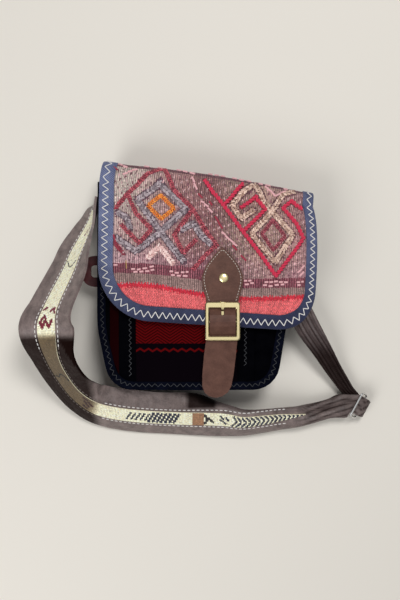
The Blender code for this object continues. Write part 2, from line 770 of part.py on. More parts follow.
def closure_rows():
    """y, middle x, half width and underside height of the closure strap from apex to tail tip."""
    leaf = [(0, 0.0003), (0.0025, 0.0030), (0.0100, 0.0098), (0.0190, 0.0166), (0.0300, LEAF_HALF),
            (0.0400, 0.0198), (0.0480, 0.0175)]
    rows = []
    for down, half in leaf:
        y = LEAF_TOP - down
        rows.append((y, STRAP_X, half, over_flap(y, KILIM_TOP + GAP)))
    top = BUCKLE_TOP
    inside = top - BUCKLE_TOP_BAR
    low = top - BUCKLE_LENGTH
    over_eye = HINGE_Z + EYE_RADIUS + GAP
    rows += [
        (top - 0.0010, STRAP_X, TAIL_HALF, LEATHER_UNDER_BAR),
        (inside + 0.0012, STRAP_X, WAIST_HALF, LEATHER_UNDER_BAR),
        (inside - 0.0006, STRAP_X, WAIST_HALF, LEATHER_UNDER_BAR + 0.0002),
        (HINGE_Y + 0.0068, STRAP_X, WAIST_HALF, over_eye - 0.0014),
        (HINGE_Y + 0.0035, STRAP_X, WAIST_HALF, over_eye - 0.0003),
        (HINGE_Y, STRAP_X, WAIST_HALF, over_eye),
        (HINGE_Y - 0.0045, STRAP_X, WAIST_HALF, over_eye - 0.0007),
        (low + BUCKLE_LOW_BAR + 0.0010, STRAP_X, WAIST_HALF, LEATHER_UNDER_BAR),
        (low + 0.0022, STRAP_X - 0.0004, WAIST_HALF + 0.0010, LEATHER_UNDER_BAR - 0.0004),
        (low - 0.0015, STRAP_X - 0.0010, TAIL_HALF, LEATHER_UNDER_BAR - 0.0010),
    ]
    end = TAIL_TIP - low
    tail = [(0.28, 0.0026, 0.0160, 0.0040), (0.60, 0.0044, 0.0157, 0.0058), (0.80, 0.0056, 0.0146, 0.0066),
            (0.91, 0.0062, 0.0118, 0.0071), (0.975, 0.0066, 0.0068, 0.0074), (1.0, 0.0067, 0.0010, 0.0075)]
    for share, lean, half, drop in tail:
        rows.append((low + end * share, STRAP_X - lean, half, LEATHER_UNDER_BAR - drop))
    return rows


def make_closure_strap():
    brown = material("brown_leather", BROWN, 0.6)
    sections = []
    for y, middle, half, low in closure_rows():
        across = [middle - half, middle, middle + half]
        top = [closure_place(x, y, low + LEATHER) for x in across]
        under = [closure_place(x, y, low) for x in reversed(across)]
        sections.append(top + under)
    strap = loft("closure_strap", sections, brown)
    slot_top = BUCKLE_TOP - BUCKLE_TOP_BAR - 0.0002
    slot_low = HINGE_Y + 0.0066
    slot = block("slot", (STRAP_X, (slot_top + slot_low) / 2, FRAME_LOW),
                 (PRONG_WIDTH + 2 * RUNNING_GAP, slot_top - slot_low, 0.012), brown)
    return boolean(strap, slot)


def block(name, middle, size, finish):
    """A straight box, as a cutter or a bar."""
    x, y, z = (side / 2 for side in size)
    corners = [(-x, -y), (x, -y), (x, y), (-x, y)]
    sections = [[Vector(middle) + Vector((cx, cy, cz)) for cx, cy in corners] for cz in (-z, z)]
    return loft(name, sections, finish)


def tube(name, path, radius, finish, steps=10, closed=False):
    """A round bar along a path that stays in one plane."""
    line = [Vector(p) for p in path]
    flat = (line[1] - line[0]).cross(line[len(line) // 2] - line[0])
    if flat.length < 1e-9:
        flat = (line[1] - line[0]).orthogonal()
    flat.normalize()
    sections = []
    for i, here in enumerate(line):
        before = line[i - 1] if i or closed else here
        after = line[(i + 1) % len(line)] if i + 1 < len(line) or closed else here
        heading = (after - before).normalized()
        side = heading.cross(flat)
        sections.append([
            here + side * (radius * math.cos(2 * math.pi * k / steps))
            + flat * (radius * math.sin(2 * math.pi * k / steps))
            for k in range(steps)
        ])
    return loft(name, sections, finish, closed)


def surface_normal():
    return Vector((-SLOPE, 0, 1)).normalized()


def make_stud_and_snap():
    brass = material("brass", BRASS, 0.3, 1.0)
    steel = material("plated_steel", STEEL, 0.35, 1.0)
    y = LEAF_TOP - STUD_FROM_APEX
    x = STRAP_X + 0.0012
    foot = closure_place(x, y, over_flap(y, KILIM_TOP + GAP) + LEATHER + GAP)
    depth = LEATHER + 2 * GAP + CLOTH + GAP + LINING
    dome = [(STUD_RADIUS * math.cos(math.radians(t)), STUD_HEIGHT * math.sin(math.radians(t)))
            for t in (0, 25, 50, 72)]
    profile = [(0, -depth), (STUD_POST, -depth), (STUD_POST, 0), *dome, (0, STUD_HEIGHT)]
    turned("stud", profile, foot, surface_normal(), brass)
    for name in ("closure_strap", "flap_kilim", "flap_lining"):
        hole = [(0, -0.02), (STUD_POST + GAP, -0.02), (STUD_POST + GAP, 0.02), (0, 0.02)]
        cutter = turned("hole", hole, foot, surface_normal(), brass)
        boolean(bpy.data.objects[name], cutter)
    for name, lift in (("snap_male", FRONT_TRIM + 2 * GAP + SNAP_HALF), ("snap_female", FRONT_TRIM + GAP)):
        base = Vector((x, y, front_height(x, y) + lift))
        disc = [(0, 0), (SNAP_RADIUS, 0), (SNAP_RADIUS, SNAP_HALF), (0, SNAP_HALF)]
        turned(name, disc, base, surface_normal(), steel)


def make_buckle():
    brass = material("brass", BRASS, 0.3, 1.0)
    half = BUCKLE_WIDTH / 2
    top = BUCKLE_TOP
    low = BUCKLE_TOP - BUCKLE_LENGTH
    outer = fillet([(-half, top), (-half, low), (half, low), (half, top)], [0.0022] * 4, 4)
    inside = half - BUCKLE_SIDE_BAR
    window = fillet([(-inside, top - BUCKLE_TOP_BAR), (-inside, low + BUCKLE_LOW_BAR),
                     (inside, low + BUCKLE_LOW_BAR), (inside, top - BUCKLE_TOP_BAR)], [0.0010] * 4, 4)
    bevel = 0.0009

    def ring_of(outline, inset, z):
        middle = Vector((0, (top + low) / 2))
        points = []
        for x, y in outline:
            away = Vector((x, y)) - middle
            px = x - inset * math.copysign(1, away.x)
            py = y - inset * math.copysign(1, away.y)
            points.append(closure_place(STRAP_X + px, py, z))
        return points
    sections = [
        ring_of(outer, bevel, FRAME_LOW), ring_of(outer, 0, FRAME_LOW + bevel),
        ring_of(outer, 0, FRAME_TOP - bevel), ring_of(outer, bevel, FRAME_TOP),
        ring_of(window, -bevel, FRAME_TOP), ring_of(window, 0, FRAME_TOP - bevel),
        ring_of(window, 0, FRAME_LOW + bevel), ring_of(window, -bevel, FRAME_LOW),
    ]
    frame = loft("buckle_frame", sections, brass, closed=True)
    reach = half - BUCKLE_SIDE_BAR / 2
    ends = [closure_place(STRAP_X + side * reach, HINGE_Y, HINGE_Z) for side in (-1, 1)]
    bar = tube("hinge_bar", ends, HINGE_BAR_RADIUS, brass)
    frame = boolean(frame, bar, "UNION")
    notch = block("notch", (STRAP_X, top - BUCKLE_TOP_BAR / 2, FRAME_TOP),
                  (PRONG_WIDTH + 2 * RUNNING_GAP, BUCKLE_TOP_BAR * 2, NOTCH_DEPTH * 2), brass)
    return boolean(frame, notch)


def make_prong():
    brass = material("brass", BRASS, 0.3, 1.0)
    inside = BUCKLE_TOP - BUCKLE_TOP_BAR
    line = [
        (HINGE_Y + 0.0012, HINGE_Z + 0.0002), (HINGE_Y + 0.0060, HINGE_Z - 0.0005),
        (inside - 0.0032, HINGE_Z - 0.0002), (inside - 0.0012, TIP_Z - 0.0006),
        (inside + 0.0006, TIP_Z), (BUCKLE_TOP - 0.0016, TIP_Z),
    ]
    sections = []
    for i, (y, z) in enumerate(line):
        half = PRONG_WIDTH / 2 * (0.62 if i == len(line) - 1 else 1)
        sections.append([
            closure_place(STRAP_X + x, y, z + lift)
            for x, lift in ((-half, PRONG_HALF), (half, PRONG_HALF), (half, -PRONG_HALF), (-half, -PRONG_HALF))
        ])
    arm = loft("buckle_prong", sections, brass)
    bore = HINGE_BAR_RADIUS + RUNNING_GAP
    rims = []
    for x, radius in ((-1, bore), (1, bore), (1, EYE_RADIUS), (-1, EYE_RADIUS)):
        middle = closure_place(STRAP_X + x * PRONG_WIDTH / 2, HINGE_Y, HINGE_Z)
        rims.append([
            middle + Vector((0, radius * math.cos(2 * math.pi * k / 16), radius * math.sin(2 * math.pi * k / 16)))
            for k in range(16)
        ])
    eye = loft("eye", rims, brass, closed=True)
    prong = boolean(arm, eye, "UNION")
    ends = [closure_place(STRAP_X + side * PRONG_WIDTH, HINGE_Y, HINGE_Z) for side in (-1, 1)]
    boolean(prong, tube("bore", ends, bore, brass, 16))


# Shoulder strap. Its cross-section is bent like soft leather: from the stripe in the middle
# each side heads off at an angle, which changes towards its edge.

def half_section(half, start, middle, edge):
    """(distance, out, up, heading) along one side of a strap, from its middle to its edge."""
    knots = [(0, start), (0.27, start), (0.63, middle), (1, edge)]
    stops = [0, 0.13, 0.26, 0.40, 0.55, 0.70, 0.85, 1]
    out = up = 0.0
    points = []
    before = 0.0
    for stop in stops:
        heading = start
        for (s0, a0), (s1, a1) in zip(knots, knots[1:]):
            if s0 <= stop <= s1 and s1 > s0:
                heading = a0 + (a1 - a0) * (stop - s0) / (s1 - s0)
        if points:
            turn = math.radians((heading + points[-1][3]) / 2)
            out += (stop - before) * half * math.cos(turn)
            up += (stop - before) * half * math.sin(turn)
        points.append((stop, out, up, heading))
        before = stop
    return points


def strap_line(origin, outward, upward, row, crease=0.0):
    """Middle line of the strap's cross-section from its inner to its outer edge, with normals."""
    tilt, valley, outer_middle, outer_edge, inner_middle, inner_edge, half = row
    outer = half_section(half, valley - tilt, outer_middle, outer_edge)
    inner = half_section(half, valley + tilt, inner_middle, inner_edge)
    line = []
    for sign, side in ((-1, inner[:0:-1]), (1, outer)):
        for stop, out, up, heading in side:
            turn = math.radians(heading * sign if stop else -tilt)
            normal = upward * math.cos(turn) - outward * math.sin(turn)
            fold = crease * math.cos(2 * math.pi * stop * 2.4)
            line.append((origin + outward * (sign * out) + upward * up + normal * fold, normal))
    return line


def layer(line, low, high):
    """One loop round a strap: its face at the height high, then its back at the height low."""
    face = [point + normal * high for point, normal in line]
    back = [point + normal * low for point, normal in reversed(line)]
    return face + back


def strap_section(origin, outward, upward, row, thickness, crease=0.0):
    line = strap_line(origin, outward, upward, row, crease)
    return layer(line, -thickness / 2, thickness / 2)


def plan_headings(points):
    """Which way the path runs, seen from above, at each of its points."""
    headings = []
    for i in range(len(points)):
        before = Vector(points[max(i - 1, 0)][:2])
        after = Vector(points[min(i + 1, len(points) - 1)][:2])
        headings.append((after - before).normalized())
    return headings


def long_strap_rows():
    """Stations of the long strap round the bag's left side and bottom: the stripe's middle
    (x, y, z), its tilt, how far the stripe is folded up, then the angles of the outer and
    inner side at mid band and edge, and the half width."""
    half = STRAP_WIDTH / 2
    wall = LEFT - GAP - TRIM - GAP - STRAP_THICKNESS / 2
    floor = BOTTOM
    end = ring_rod(0.0)
    return [
        (wall - 0.0002, 0.088, 0.0225, 90, 0, -90, -90, 90, 90, 0.019),
        (wall - 0.0014, 0.078, 0.0250, 70, 18, -58, -58, 90, 90, 0.0205),
        (wall - 0.0050, 0.062, 0.0300, 61, 14, -44, -44, 82, 88, 0.0235),
        (wall - 0.0120, 0.045, 0.0370, 54, 10, -38, -34, 72, 76, 0.026),
        (wall - 0.0194, 0.028, 0.0455, 50, 4, -36, -30, 60, 62, 0.029),
        (wall - 0.0251, 0.010, 0.0570, 48, 0, -36, -30, 52, 52, half),
        (wall - 0.0385, -0.025, 0.0740, 40, 0, -32, -26, 44, 46, half),
        (wall - 0.0425, -0.047, 0.0790, 12, 0, -16, -22, 26, 32, half),
        (wall - 0.0390, -0.075, 0.0660, 38, 0, -50, -56, 40, 36, half),
        (wall - 0.0305, floor + 0.008, 0.0450, 45, 0, -57, -62, 42, 34, half),
        (wall - 0.0180, floor - 0.011, 0.0310, 45, 0, -54, -58, 30, 14, half),
        (wall + 0.0010, floor - 0.0235, 0.0255, 41, 0, -50, -56, 10, -6, half),
        (LEFT + 0.0305, floor - 0.0300, 0.0238, 40, 0, -50, -54, 6, -10, half),
        (LEFT + 0.0765, floor - 0.0330, 0.0234, 40, 0, -50, -54, 6, -10, half),
        (LEFT + 0.1245, floor - 0.0345, 0.0235, 38, 0, -46, -50, -56, -100, half),
        (RIGHT - 0.0475, floor - 0.0370, 0.0250, 40, 0, -50, -62, -84, -126, half),
        (RIGHT - 0.0260, floor - 0.0350, 0.0242, 40, 0, -48, -66, -110, -150, half),
        (RIGHT - 0.0035, floor - 0.0325, 0.0187, 34, 0, -40, -80, -110, -160, 0.026),
        (end.x - 0.0560, end.y - 0.0065, 0.0110, 8, 44, -32, -120, -40, -140, 0.0175),
        (end.x - 0.0350, end.y - 0.0015, 0.0115, 0, 46, -30, -120, -30, -130, 0.0165),
        (end.x - 0.0190, end.y + 0.0020, 0.0136, 0, 12, -10, -24, -6, -14, 0.0125),
    ]


def ring_axes():
    """The rods' direction, the way the straps arrive, and up."""
    rod = Vector((-0.478, -0.878, 0)).normalized()
    return rod, Vector((-rod.y, rod.x, 0)), Vector((0, 0, 1))


SHORT_BIGHT = RING_WIRE + RUNNING_GAP + SHORT_THICKNESS / 2
LONG_BIGHT = SHORT_BIGHT + SHORT_THICKNESS / 2 + GAP + STRAP_THICKNESS / 2


def ring_rod(which):
    """Middle of the rod in both straps' bights (0) or of the free rod over the long strap (1)."""
    _, arrive, up = ring_axes()
    height = RING_LIFT + LONG_BIGHT + STRAP_THICKNESS / 2
    low_rod = Vector((RIGHT + RING_FROM_RIGHT, BOTTOM - RING_FROM_BOTTOM, height))
    lean = math.radians(RING_LEAN)
    return low_rod + (up * math.sin(lean) - arrive * math.cos(lean)) * (RING_REACH * which)


def bight(centre, radius, half, length, lead, thickness, rod, arrive, up):
    """The end of a strap, turned round a rod and led back underneath."""
    flat = (0, 0, 0, 0, 0, 0, half)
    sections = []
    for back in (lead, lead / 2):
        origin = centre - arrive * back + up * radius
        sections.append(strap_section(origin, rod, up, flat, thickness))
    for k in range(9):
        turn = math.pi * k / 8
        away = up * math.cos(turn) + arrive * math.sin(turn)
        sections.append(strap_section(centre + away * radius, rod, away, flat, thickness))
    for back in (length / 2, length):
        origin = centre - arrive * back - up * radius
        sections.append(strap_section(origin, rod, -up, flat, thickness))
    return sections


def make_long_strap():
    leather = material("strap_leather", STRAP_BROWN, 0.55)
    rows = spline(long_strap_rows(), SPLINE_STEPS)
    headings = plan_headings(rows)
    up = Vector((0, 0, 1))
    sections = []
    for row, heading in zip(rows, headings):
        outward = Vector((heading.y, -heading.x, 0))
        sections.append(strap_section(Vector(row[:3]), outward, up, row[3:], STRAP_THICKNESS))
    rod, arrive, up = ring_axes()
    half = STRAP_END_WIDTH / 2
    sections += bight(ring_rod(0), LONG_BIGHT, half, 0.012, 0.009, STRAP_THICKNESS, rod, arrive, up)
    loft("shoulder_strap", sections, leather)


def make_stripe():
    """The kilim stripe sewn down the middle of the long strap, as wide as its flat middle."""
    wool = material("cream_kilim", CREAM, 0.95)
    rows = spline(long_strap_rows(), SPLINE_STEPS)
    headings = plan_headings(rows)
    up = Vector((0, 0, 1))
    low = STRAP_THICKNESS / 2 + RUNNING_GAP
    sections = []
    last = len(rows) - STRIPE_ENDS_BEFORE
    for row, heading in list(zip(rows, headings))[STRIPE_STARTS_AFTER:last]:
        outward = Vector((heading.y, -heading.x, 0))
        line = strap_line(Vector(row[:3]), outward, up, row[3:])
        middle = len(line) // 2
        sections.append(layer(line[middle - 2:middle + 3], low, low + STRIPE_HEIGHT))
    loft("strap_kilim", sections, wool)


def make_short_strap():
    leather = material("strap_leather", STRAP_BROWN, 0.55)
    half = SHORT_WIDTH / 2
    wall = RIGHT + GAP + SHORT_THICKNESS / 2 + CREASE
    rod, arrive, up = ring_axes()
    rod_middle = ring_rod(0) - rod * 0.0030
    lead = rod_middle - arrive * 0.007 + up * SHORT_BIGHT
    rows = [
        (wall + 0.0001, 0.074, 0.0222, 90, 0, -90, -90, 90, 90, half),
        (wall + 0.0002, 0.052, 0.0222, 90, 0, -90, -90, 90, 90, half),
        (wall + 0.0008, 0.028, 0.0222, 88, 0, -88, -86, 88, 88, half),
        (wall + 0.0036, 0.004, 0.0225, 74, 0, -66, -60, 74, 76, half),
        (wall + 0.0090, -0.020, 0.0235, 42, 0, -34, -28, 44, 46, half),
        (wall + 0.0165, -0.041, 0.0240, 18, 0, -12, -8, 20, 22, half),
        (wall + 0.0355, -0.071, 0.0190, 14, 0, -14, -22, 8, 4, 0.0108),
        (lead.x - 0.0230, lead.y + 0.0310, 0.0110, 12, 0, -18, -30, 4, -2, 0.0088),
        (lead.x - 0.0095, lead.y + 0.0110, lead.z - 0.0016, 4, 0, -6, -10, 0, -2, 0.0068),
    ]
    sections = []
    rows = spline(rows, SPLINE_STEPS)
    for row, heading in zip(rows, plan_headings(rows)):
        outward = Vector((-heading.y, heading.x, 0))
        sections.append(strap_section(Vector(row[:3]), outward, up, row[3:], SHORT_THICKNESS, CREASE))
    half = SHORT_END_WIDTH / 2
    sections += bight(rod_middle, SHORT_BIGHT, half, 0.009, 0.005, SHORT_THICKNESS, -rod, arrive, up)
    loft("short_strap", sections, leather)


def make_ring():
    steel = material("plated_steel", STEEL, 0.35, 1.0)
    rod, _, _ = ring_axes()
    start = ring_rod(0)
    rise = (ring_rod(1) - start).normalized()
    half = RING_LENGTH / 2 - RING_WIRE
    corners = fillet([(-half, 0), (half, 0), (half, RING_REACH), (-half, RING_REACH)], [RING_CORNER] * 4, 4)
    tube("strap_ring", [start + rod * x + rise * y for x, y in corners], RING_WIRE, steel, closed=True)


def make_side_loop():
    """A flat leather loop sewn to the left side of the gusset."""
    leather = material("loop_leather", (0.13, 0.02, 0.025), 0.6)
    root = LEFT - GAP
    spread = (LOOP_GAP + LOOP_BAND) / 2
    middle = 0.0120
    height = 0.0225
    out = root - LOOP_REACH + LOOP_BAND / 2
    path = fillet([(root, middle + spread), (out, middle + spread), (out, middle - spread),
                   (root, middle - spread)], [0, 0.0085, 0.0085, 0], 6)
    sections = []
    for (x, y), heading in zip(path, plan_headings([(x, y, 0) for x, y in path])):
        side = Vector((heading.y, -heading.x, 0)) * (LOOP_BAND / 2)
        if x == root:
            side = Vector((0, math.copysign(LOOP_BAND / 2, side.y), 0))
        here = Vector((x, y, height))
        lift = Vector((0, 0, LOOP_THICKNESS / 2))
        sections.append([here - side + lift, here + side + lift, here + side - lift, here - side - lift])
    loft("side_loop", sections, leather)


def main():
    make_body()
    make_lining()
    make_edge_tapes()
    make_front_patches()
    make_flap()
    make_right_motif()
    make_left_motif()
    make_closure_strap()
    make_stud_and_snap()
    make_buckle()
    make_prong()
    make_long_strap()
    make_stripe()
    make_short_strap()
    make_ring()
    make_side_loop()


for thing in list(bpy.data.objects):
    bpy.data.objects.remove(thing)
main()
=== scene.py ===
import math

import bmesh
import bpy
import numpy as np
from mathutils import Matrix, Vector
from mathutils.bvhtree import BVHTree


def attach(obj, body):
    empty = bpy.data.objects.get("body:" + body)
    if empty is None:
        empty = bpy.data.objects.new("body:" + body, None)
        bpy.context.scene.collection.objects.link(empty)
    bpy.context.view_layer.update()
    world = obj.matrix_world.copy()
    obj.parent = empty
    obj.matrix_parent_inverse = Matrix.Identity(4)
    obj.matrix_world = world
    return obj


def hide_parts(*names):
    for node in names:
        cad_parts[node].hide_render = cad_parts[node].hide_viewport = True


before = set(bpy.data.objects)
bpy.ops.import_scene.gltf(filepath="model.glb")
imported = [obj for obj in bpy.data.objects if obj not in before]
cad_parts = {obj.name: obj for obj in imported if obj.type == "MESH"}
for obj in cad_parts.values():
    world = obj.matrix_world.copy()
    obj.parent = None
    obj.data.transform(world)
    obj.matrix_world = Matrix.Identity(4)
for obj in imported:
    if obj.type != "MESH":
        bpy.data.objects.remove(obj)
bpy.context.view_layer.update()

# Sizes shared with the solids
GAP = 0.0003
RUNNING_GAP = 0.0004
BODY_WIDTH = 0.195
BODY_HEIGHT = 0.212
BODY_DEPTH = 0.050
DEPTH_SAG_SIDES = 0.0045
DEPTH_SAG_ENDS = 0.0040
MOUTH_SLANT = 0.028
CLOTH = 0.0022
LINING = 0.0008
TRIM = 0.0012
CORNER_RADIUS = 0.026
SHOULDER_RADIUS = 0.110
LEFT_TAPER = 0.013
LEFT_TAPER_RISE = 0.062
RIGHT_TAPER = 0.016
RIGHT_TAPER_RISE = 0.100
FLAP_LEFT_LAP = -0.0015
FLAP_RIGHT_LAP = 0.0217
FLAP_LEFT_DROP = 0.1390
FLAP_RIGHT_DROP = 0.1250
FLAP_LEFT_CORNER = 0.052
FLAP_RIGHT_CORNER = 0.043
FLAP_BOW = 0.0045
FOLD_BULGE_LEFT = 0.0172
FOLD_BULGE_MIDDLE = 0.0035
FOLD_BULGE_RIGHT = 0.0125
FOLD_EARLY = 0.20
EDGE_BEND = 0.012
EDGE_SHORTENS = 0.0056
FOLD_LENGTH = 0.060
BINDING_WIDTH = 0.0150
BINDING_LEG = 0.0010
YARN_WIDTH = 0.0036
SNAP_HALF = 0.0012
LEFT = -BODY_WIDTH / 2
RIGHT = BODY_WIDTH / 2
BOTTOM = -BODY_HEIGHT / 2 - 0.002
MOUTH_MIDDLE = BODY_HEIGHT / 2 - 0.017
FRONT_TRIM = GAP + TRIM
SNAP_STACK = 2 * SNAP_HALF + 3 * GAP
FLAP_SPAN = BODY_WIDTH + FLAP_LEFT_LAP + FLAP_RIGHT_LAP
FLAP_WIDTH = FLAP_SPAN + EDGE_SHORTENS
FLAP_DROP = (FLAP_LEFT_DROP + FLAP_RIGHT_DROP) / 2
KILIM_LOW = LINING + GAP
KILIM_TOP = KILIM_LOW + CLOTH
BINDING_TOP = KILIM_TOP + GAP + BINDING_LEG
FLAP_ROOT = BINDING_TOP + GAP
STRAP_WIDTH = 0.060
STRAP_THICKNESS = 0.0026
STRIPE_HEIGHT = 0.0008
STRAP_END_WIDTH = 0.0205
SHORT_WIDTH = 0.0270
SHORT_END_WIDTH = 0.0120
SHORT_THICKNESS = 0.0022
CREASE = 0.0005
RING_WIRE = 0.0011
RING_REACH = 0.0125
RING_LIFT = 0.0008
RING_LEAN = 50
RING_FROM_RIGHT = 0.0806
RING_FROM_BOTTOM = 0.0242
SHORT_BIGHT = RING_WIRE + RUNNING_GAP + SHORT_THICKNESS / 2
LONG_BIGHT = SHORT_BIGHT + SHORT_THICKNESS / 2 + GAP + STRAP_THICKNESS / 2


def colour(red, green, blue):
    """Turns a colour of 0 to 255 into the linear values that a shader takes."""
    values = []
    for part in (red, green, blue):
        share = part / 255
        values.append(share / 12.92 if share <= 0.04045 else ((share + 0.055) / 1.055) ** 2.4)
    return (*values, 1.0)


# Node trees

class Value:
    """A value in a node tree, which takes part in plain sums."""

    def __init__(self, tree, socket):
        self.tree = tree
        self.socket = socket

    def __add__(self, other):
        return calc("ADD", self, other)

    def __sub__(self, other):
        return calc("SUBTRACT", self, other)

    def __rsub__(self, other):
        return calc("SUBTRACT", other, self)

    def __mul__(self, other):
        return calc("MULTIPLY", self, other)

    def __truediv__(self, other):
        return calc("DIVIDE", self, other)

    def __mod__(self, other):
        return calc("MODULO", self, other)

    def __pow__(self, other):
        return calc("POWER", self, other)

    def __abs__(self):
        return calc("ABSOLUTE", self)

    def __gt__(self, other):
        return calc("GREATER_THAN", self, other)

    def __lt__(self, other):
        return calc("LESS_THAN", self, other)


def add(tree, kind, **settings):
    made = tree.nodes.new(kind)
    for name, value in settings.items():
        setattr(made, name, value)
    return made


def fill(inputs, values):
    """Feeds inputs, by name or number, from values of the tree or with plain ones."""
    for key, value in values.items():
        if isinstance(value, Value):
            value.tree.links.new(value.socket, inputs[key])
        else:
            inputs[key].default_value = value


def step(tree, kind, values=None, out=0, **settings):
    """Adds a node, feeds its inputs and gives one of its outputs."""
    made = add(tree, kind, **settings)
    fill(made.inputs, values or {})
    return Value(tree, made.outputs[out])


def tree_of(values):
    return next(value.tree for value in values if isinstance(value, Value))


def calc(operation, *values):
    return step(tree_of(values), "ShaderNodeMath", dict(enumerate(values)), operation=operation)


def vector_calc(operation, *values):
    return step(tree_of(values), "ShaderNodeVectorMath", dict(enumerate(values)), operation=operation)


def scaled(vector, size):
    return step(vector.tree, "ShaderNodeVectorMath", {0: vector, "Scale": size}, operation="SCALE")


def limited(value):
    """The value kept between 0 and 1."""
    return calc("MINIMUM", calc("MAXIMUM", value, 0.0), 1.0)


def parts(vector):
    """The x, y and z of a vector."""
    split = add(vector.tree, "ShaderNodeSeparateXYZ")
    fill(split.inputs, {0: vector})
    return [Value(vector.tree, socket) for socket in split.outputs]


def joined(tree, x, y=0.0, z=0.0):
    return step(tree, "ShaderNodeCombineXYZ", {0: x, 1: y, 2: z})


def mix(share, first, second, blend="MIX"):
    tree = tree_of((share, first, second))
    return step(tree, "ShaderNodeMix", {"Factor": share, 6: first, 7: second}, 2,
                data_type="RGBA", blend_type=blend)


def shaded(base, shade):
    """A colour times a shade."""
    grey = step(shade.tree, "ShaderNodeCombineColor", {0: shade, 1: shade, 2: shade})
    return mix(1.0, base, grey, "MULTIPLY")


def noise(place, scale, detail=2.0):
    return step(place.tree, "ShaderNodeTexNoise", {"Vector": place, "Scale": scale, "Detail": detail}, "Fac")


def bump(height, distance):
    return step(height.tree, "ShaderNodeBump", {"Strength": 1.0, "Distance": distance, "Height": height})


def named(tree, sockets):
    return {socket.name: Value(tree, socket) for socket in sockets if socket.name}


def new_group(name, kind, inputs, outputs):
    """A node group from its inputs (name, kind, value if any) and outputs (name, kind)."""
    tree = bpy.data.node_groups.new(name, kind + "NodeTree")
    for title, sort, *value in inputs:
        socket = tree.interface.new_socket(name=title, in_out="INPUT", socket_type="NodeSocket" + sort)
        if value:
            socket.default_value = value[0]
    for title, sort in outputs:
        tree.interface.new_socket(name=title, in_out="OUTPUT", socket_type="NodeSocket" + sort)
    given = named(tree, add(tree, "NodeGroupInput").outputs)
    return tree, given, add(tree, "NodeGroupOutput").inputs


def surface_group(name, numbers, outputs):
    """A group that works from a place on the piece, in millimetres."""
    inputs = [("Place", "Vector")] + [(title, "Float", value) for title, value in numbers.items()]
    return new_group(name, "Shader", inputs, [(title, "Float") for title in outputs] + [("Normal", "Vector")])


def woven_group():
    """Weft-faced weave over ribs that run along v."""
    numbers = {"Rib": 1.25, "Weft": 0.8, "Depth": 0.0003, "Contrast": 0.5}
    tree, given, result = surface_group("woven", numbers, ["Shade"])
    place = given["Place"]
    x, y, _ = parts(place)
    wander = noise(place, 0.12)
    rib = (x + wander * 1.4) / given["Rib"]
    ridge = abs(calc("SINE", rib * math.pi))
    odd = calc("FLOOR", rib) % 2.0 * math.pi
    turn = (y + wander * 2.4) * (2 * math.pi) / given["Weft"]
    weft = calc("SINE", turn + odd)
    fibres = noise(place, 1.6, 4.0) * 0.5
    shade = ridge * given["Contrast"] + weft * 0.10 + fibres
    level = 0.75 - given["Contrast"] * 0.64
    normal = bump(ridge + weft * 0.28 + fibres, given["Depth"])
    fill(result, {"Shade": shade + level, "Normal": normal})
    return tree


def twill_group():
    """Denim: fine slanting lines of white weft between the indigo, with uneven fading."""
    tree, given, result = surface_group("twill", {"Pitch": 1.1}, ["Fleck", "Fade"])
    place = given["Place"]
    x, y, _ = parts(place)
    line = calc("SINE", (x + y * 0.7) * (2 * math.pi) / given["Pitch"])
    grain = noise(place, 1.1, 5.0)
    fill(result, {
        "Fleck": (line * 0.5 + 0.5) * grain,
        "Fade": noise(place, 0.09, 3.0),
        "Normal": bump(line * 0.5 + grain, 0.00022),
    })
    return tree


def leather_group():
    """Leather grain: fine pebbles, soft creases and a worn, uneven tone."""
    tree, given, result = surface_group("leather", {"Crease": 0.5}, ["Tone", "Wear"])
    place = given["Place"]
    cells = step(tree, "ShaderNodeTexVoronoi", {"Vector": place, "Scale": 0.9}, "Distance",
                 feature="DISTANCE_TO_EDGE")
    creases = noise(place, 0.11, 4.0)
    fine = noise(place, 0.7, 3.0)
    height = calc("MINIMUM", cells, 0.25) * 0.8 + fine * 0.3 + creases * (given["Crease"] * 6.0)
    fill(result, {"Tone": fine, "Wear": creases, "Normal": bump(height, 0.00025)})
    return tree


WOVEN = woven_group()
TWILL = twill_group()
HIDE = leather_group()


def use(tree, group, values):
    """Puts a group into a tree and gives its outputs by name."""
    made = add(tree, "ShaderNodeGroup", node_tree=group)
    fill(made.inputs, values)
    return named(tree, made.outputs)


def place_in_mm(tree, layer=None):
    """Place on a piece in millimetres, from its own map or else from object coordinates."""
    if layer:
        source = step(tree, "ShaderNodeUVMap", uv_map=layer)
    else:
        source = step(tree, "ShaderNodeTexCoord", out="Object")
    return scaled(source, 1000.0)


def painted_value(tree, name):
    """A value stored on the points of a piece."""
    return step(tree, "ShaderNodeAttribute", out="Fac", attribute_name=name)


def blank(name, roughness, metallic=0.0):
    made = bpy.data.materials.new(name)
    made.use_nodes = True
    inputs = made.node_tree.nodes["Principled BSDF"].inputs
    fill(inputs, {"Roughness": roughness, "Metallic": metallic})
    return made, made.node_tree, inputs


def wool(name, base=None, rib=1.25, contrast=0.5, layer="cloth", sheen=0.2):
    """Wool weave in one colour, or in the colours painted on the piece."""
    made, tree, inputs = blank(name, 0.92)
    if base is None:
        painted = named(tree, add(tree, "ShaderNodeVertexColor", layer_name="wool").outputs)
        base = painted["Color"]
        contrast = painted["Alpha"] * contrast
    weave = use(tree, WOVEN, {"Place": place_in_mm(tree, layer), "Rib": rib, "Contrast": contrast})
    fill(inputs, {
        "Base Color": shaded(base, weave["Shade"]), "Normal": weave["Normal"],
        "Sheen Weight": sheen, "Sheen Roughness": 0.6, "Specular IOR Level": sheen,
    })
    return made


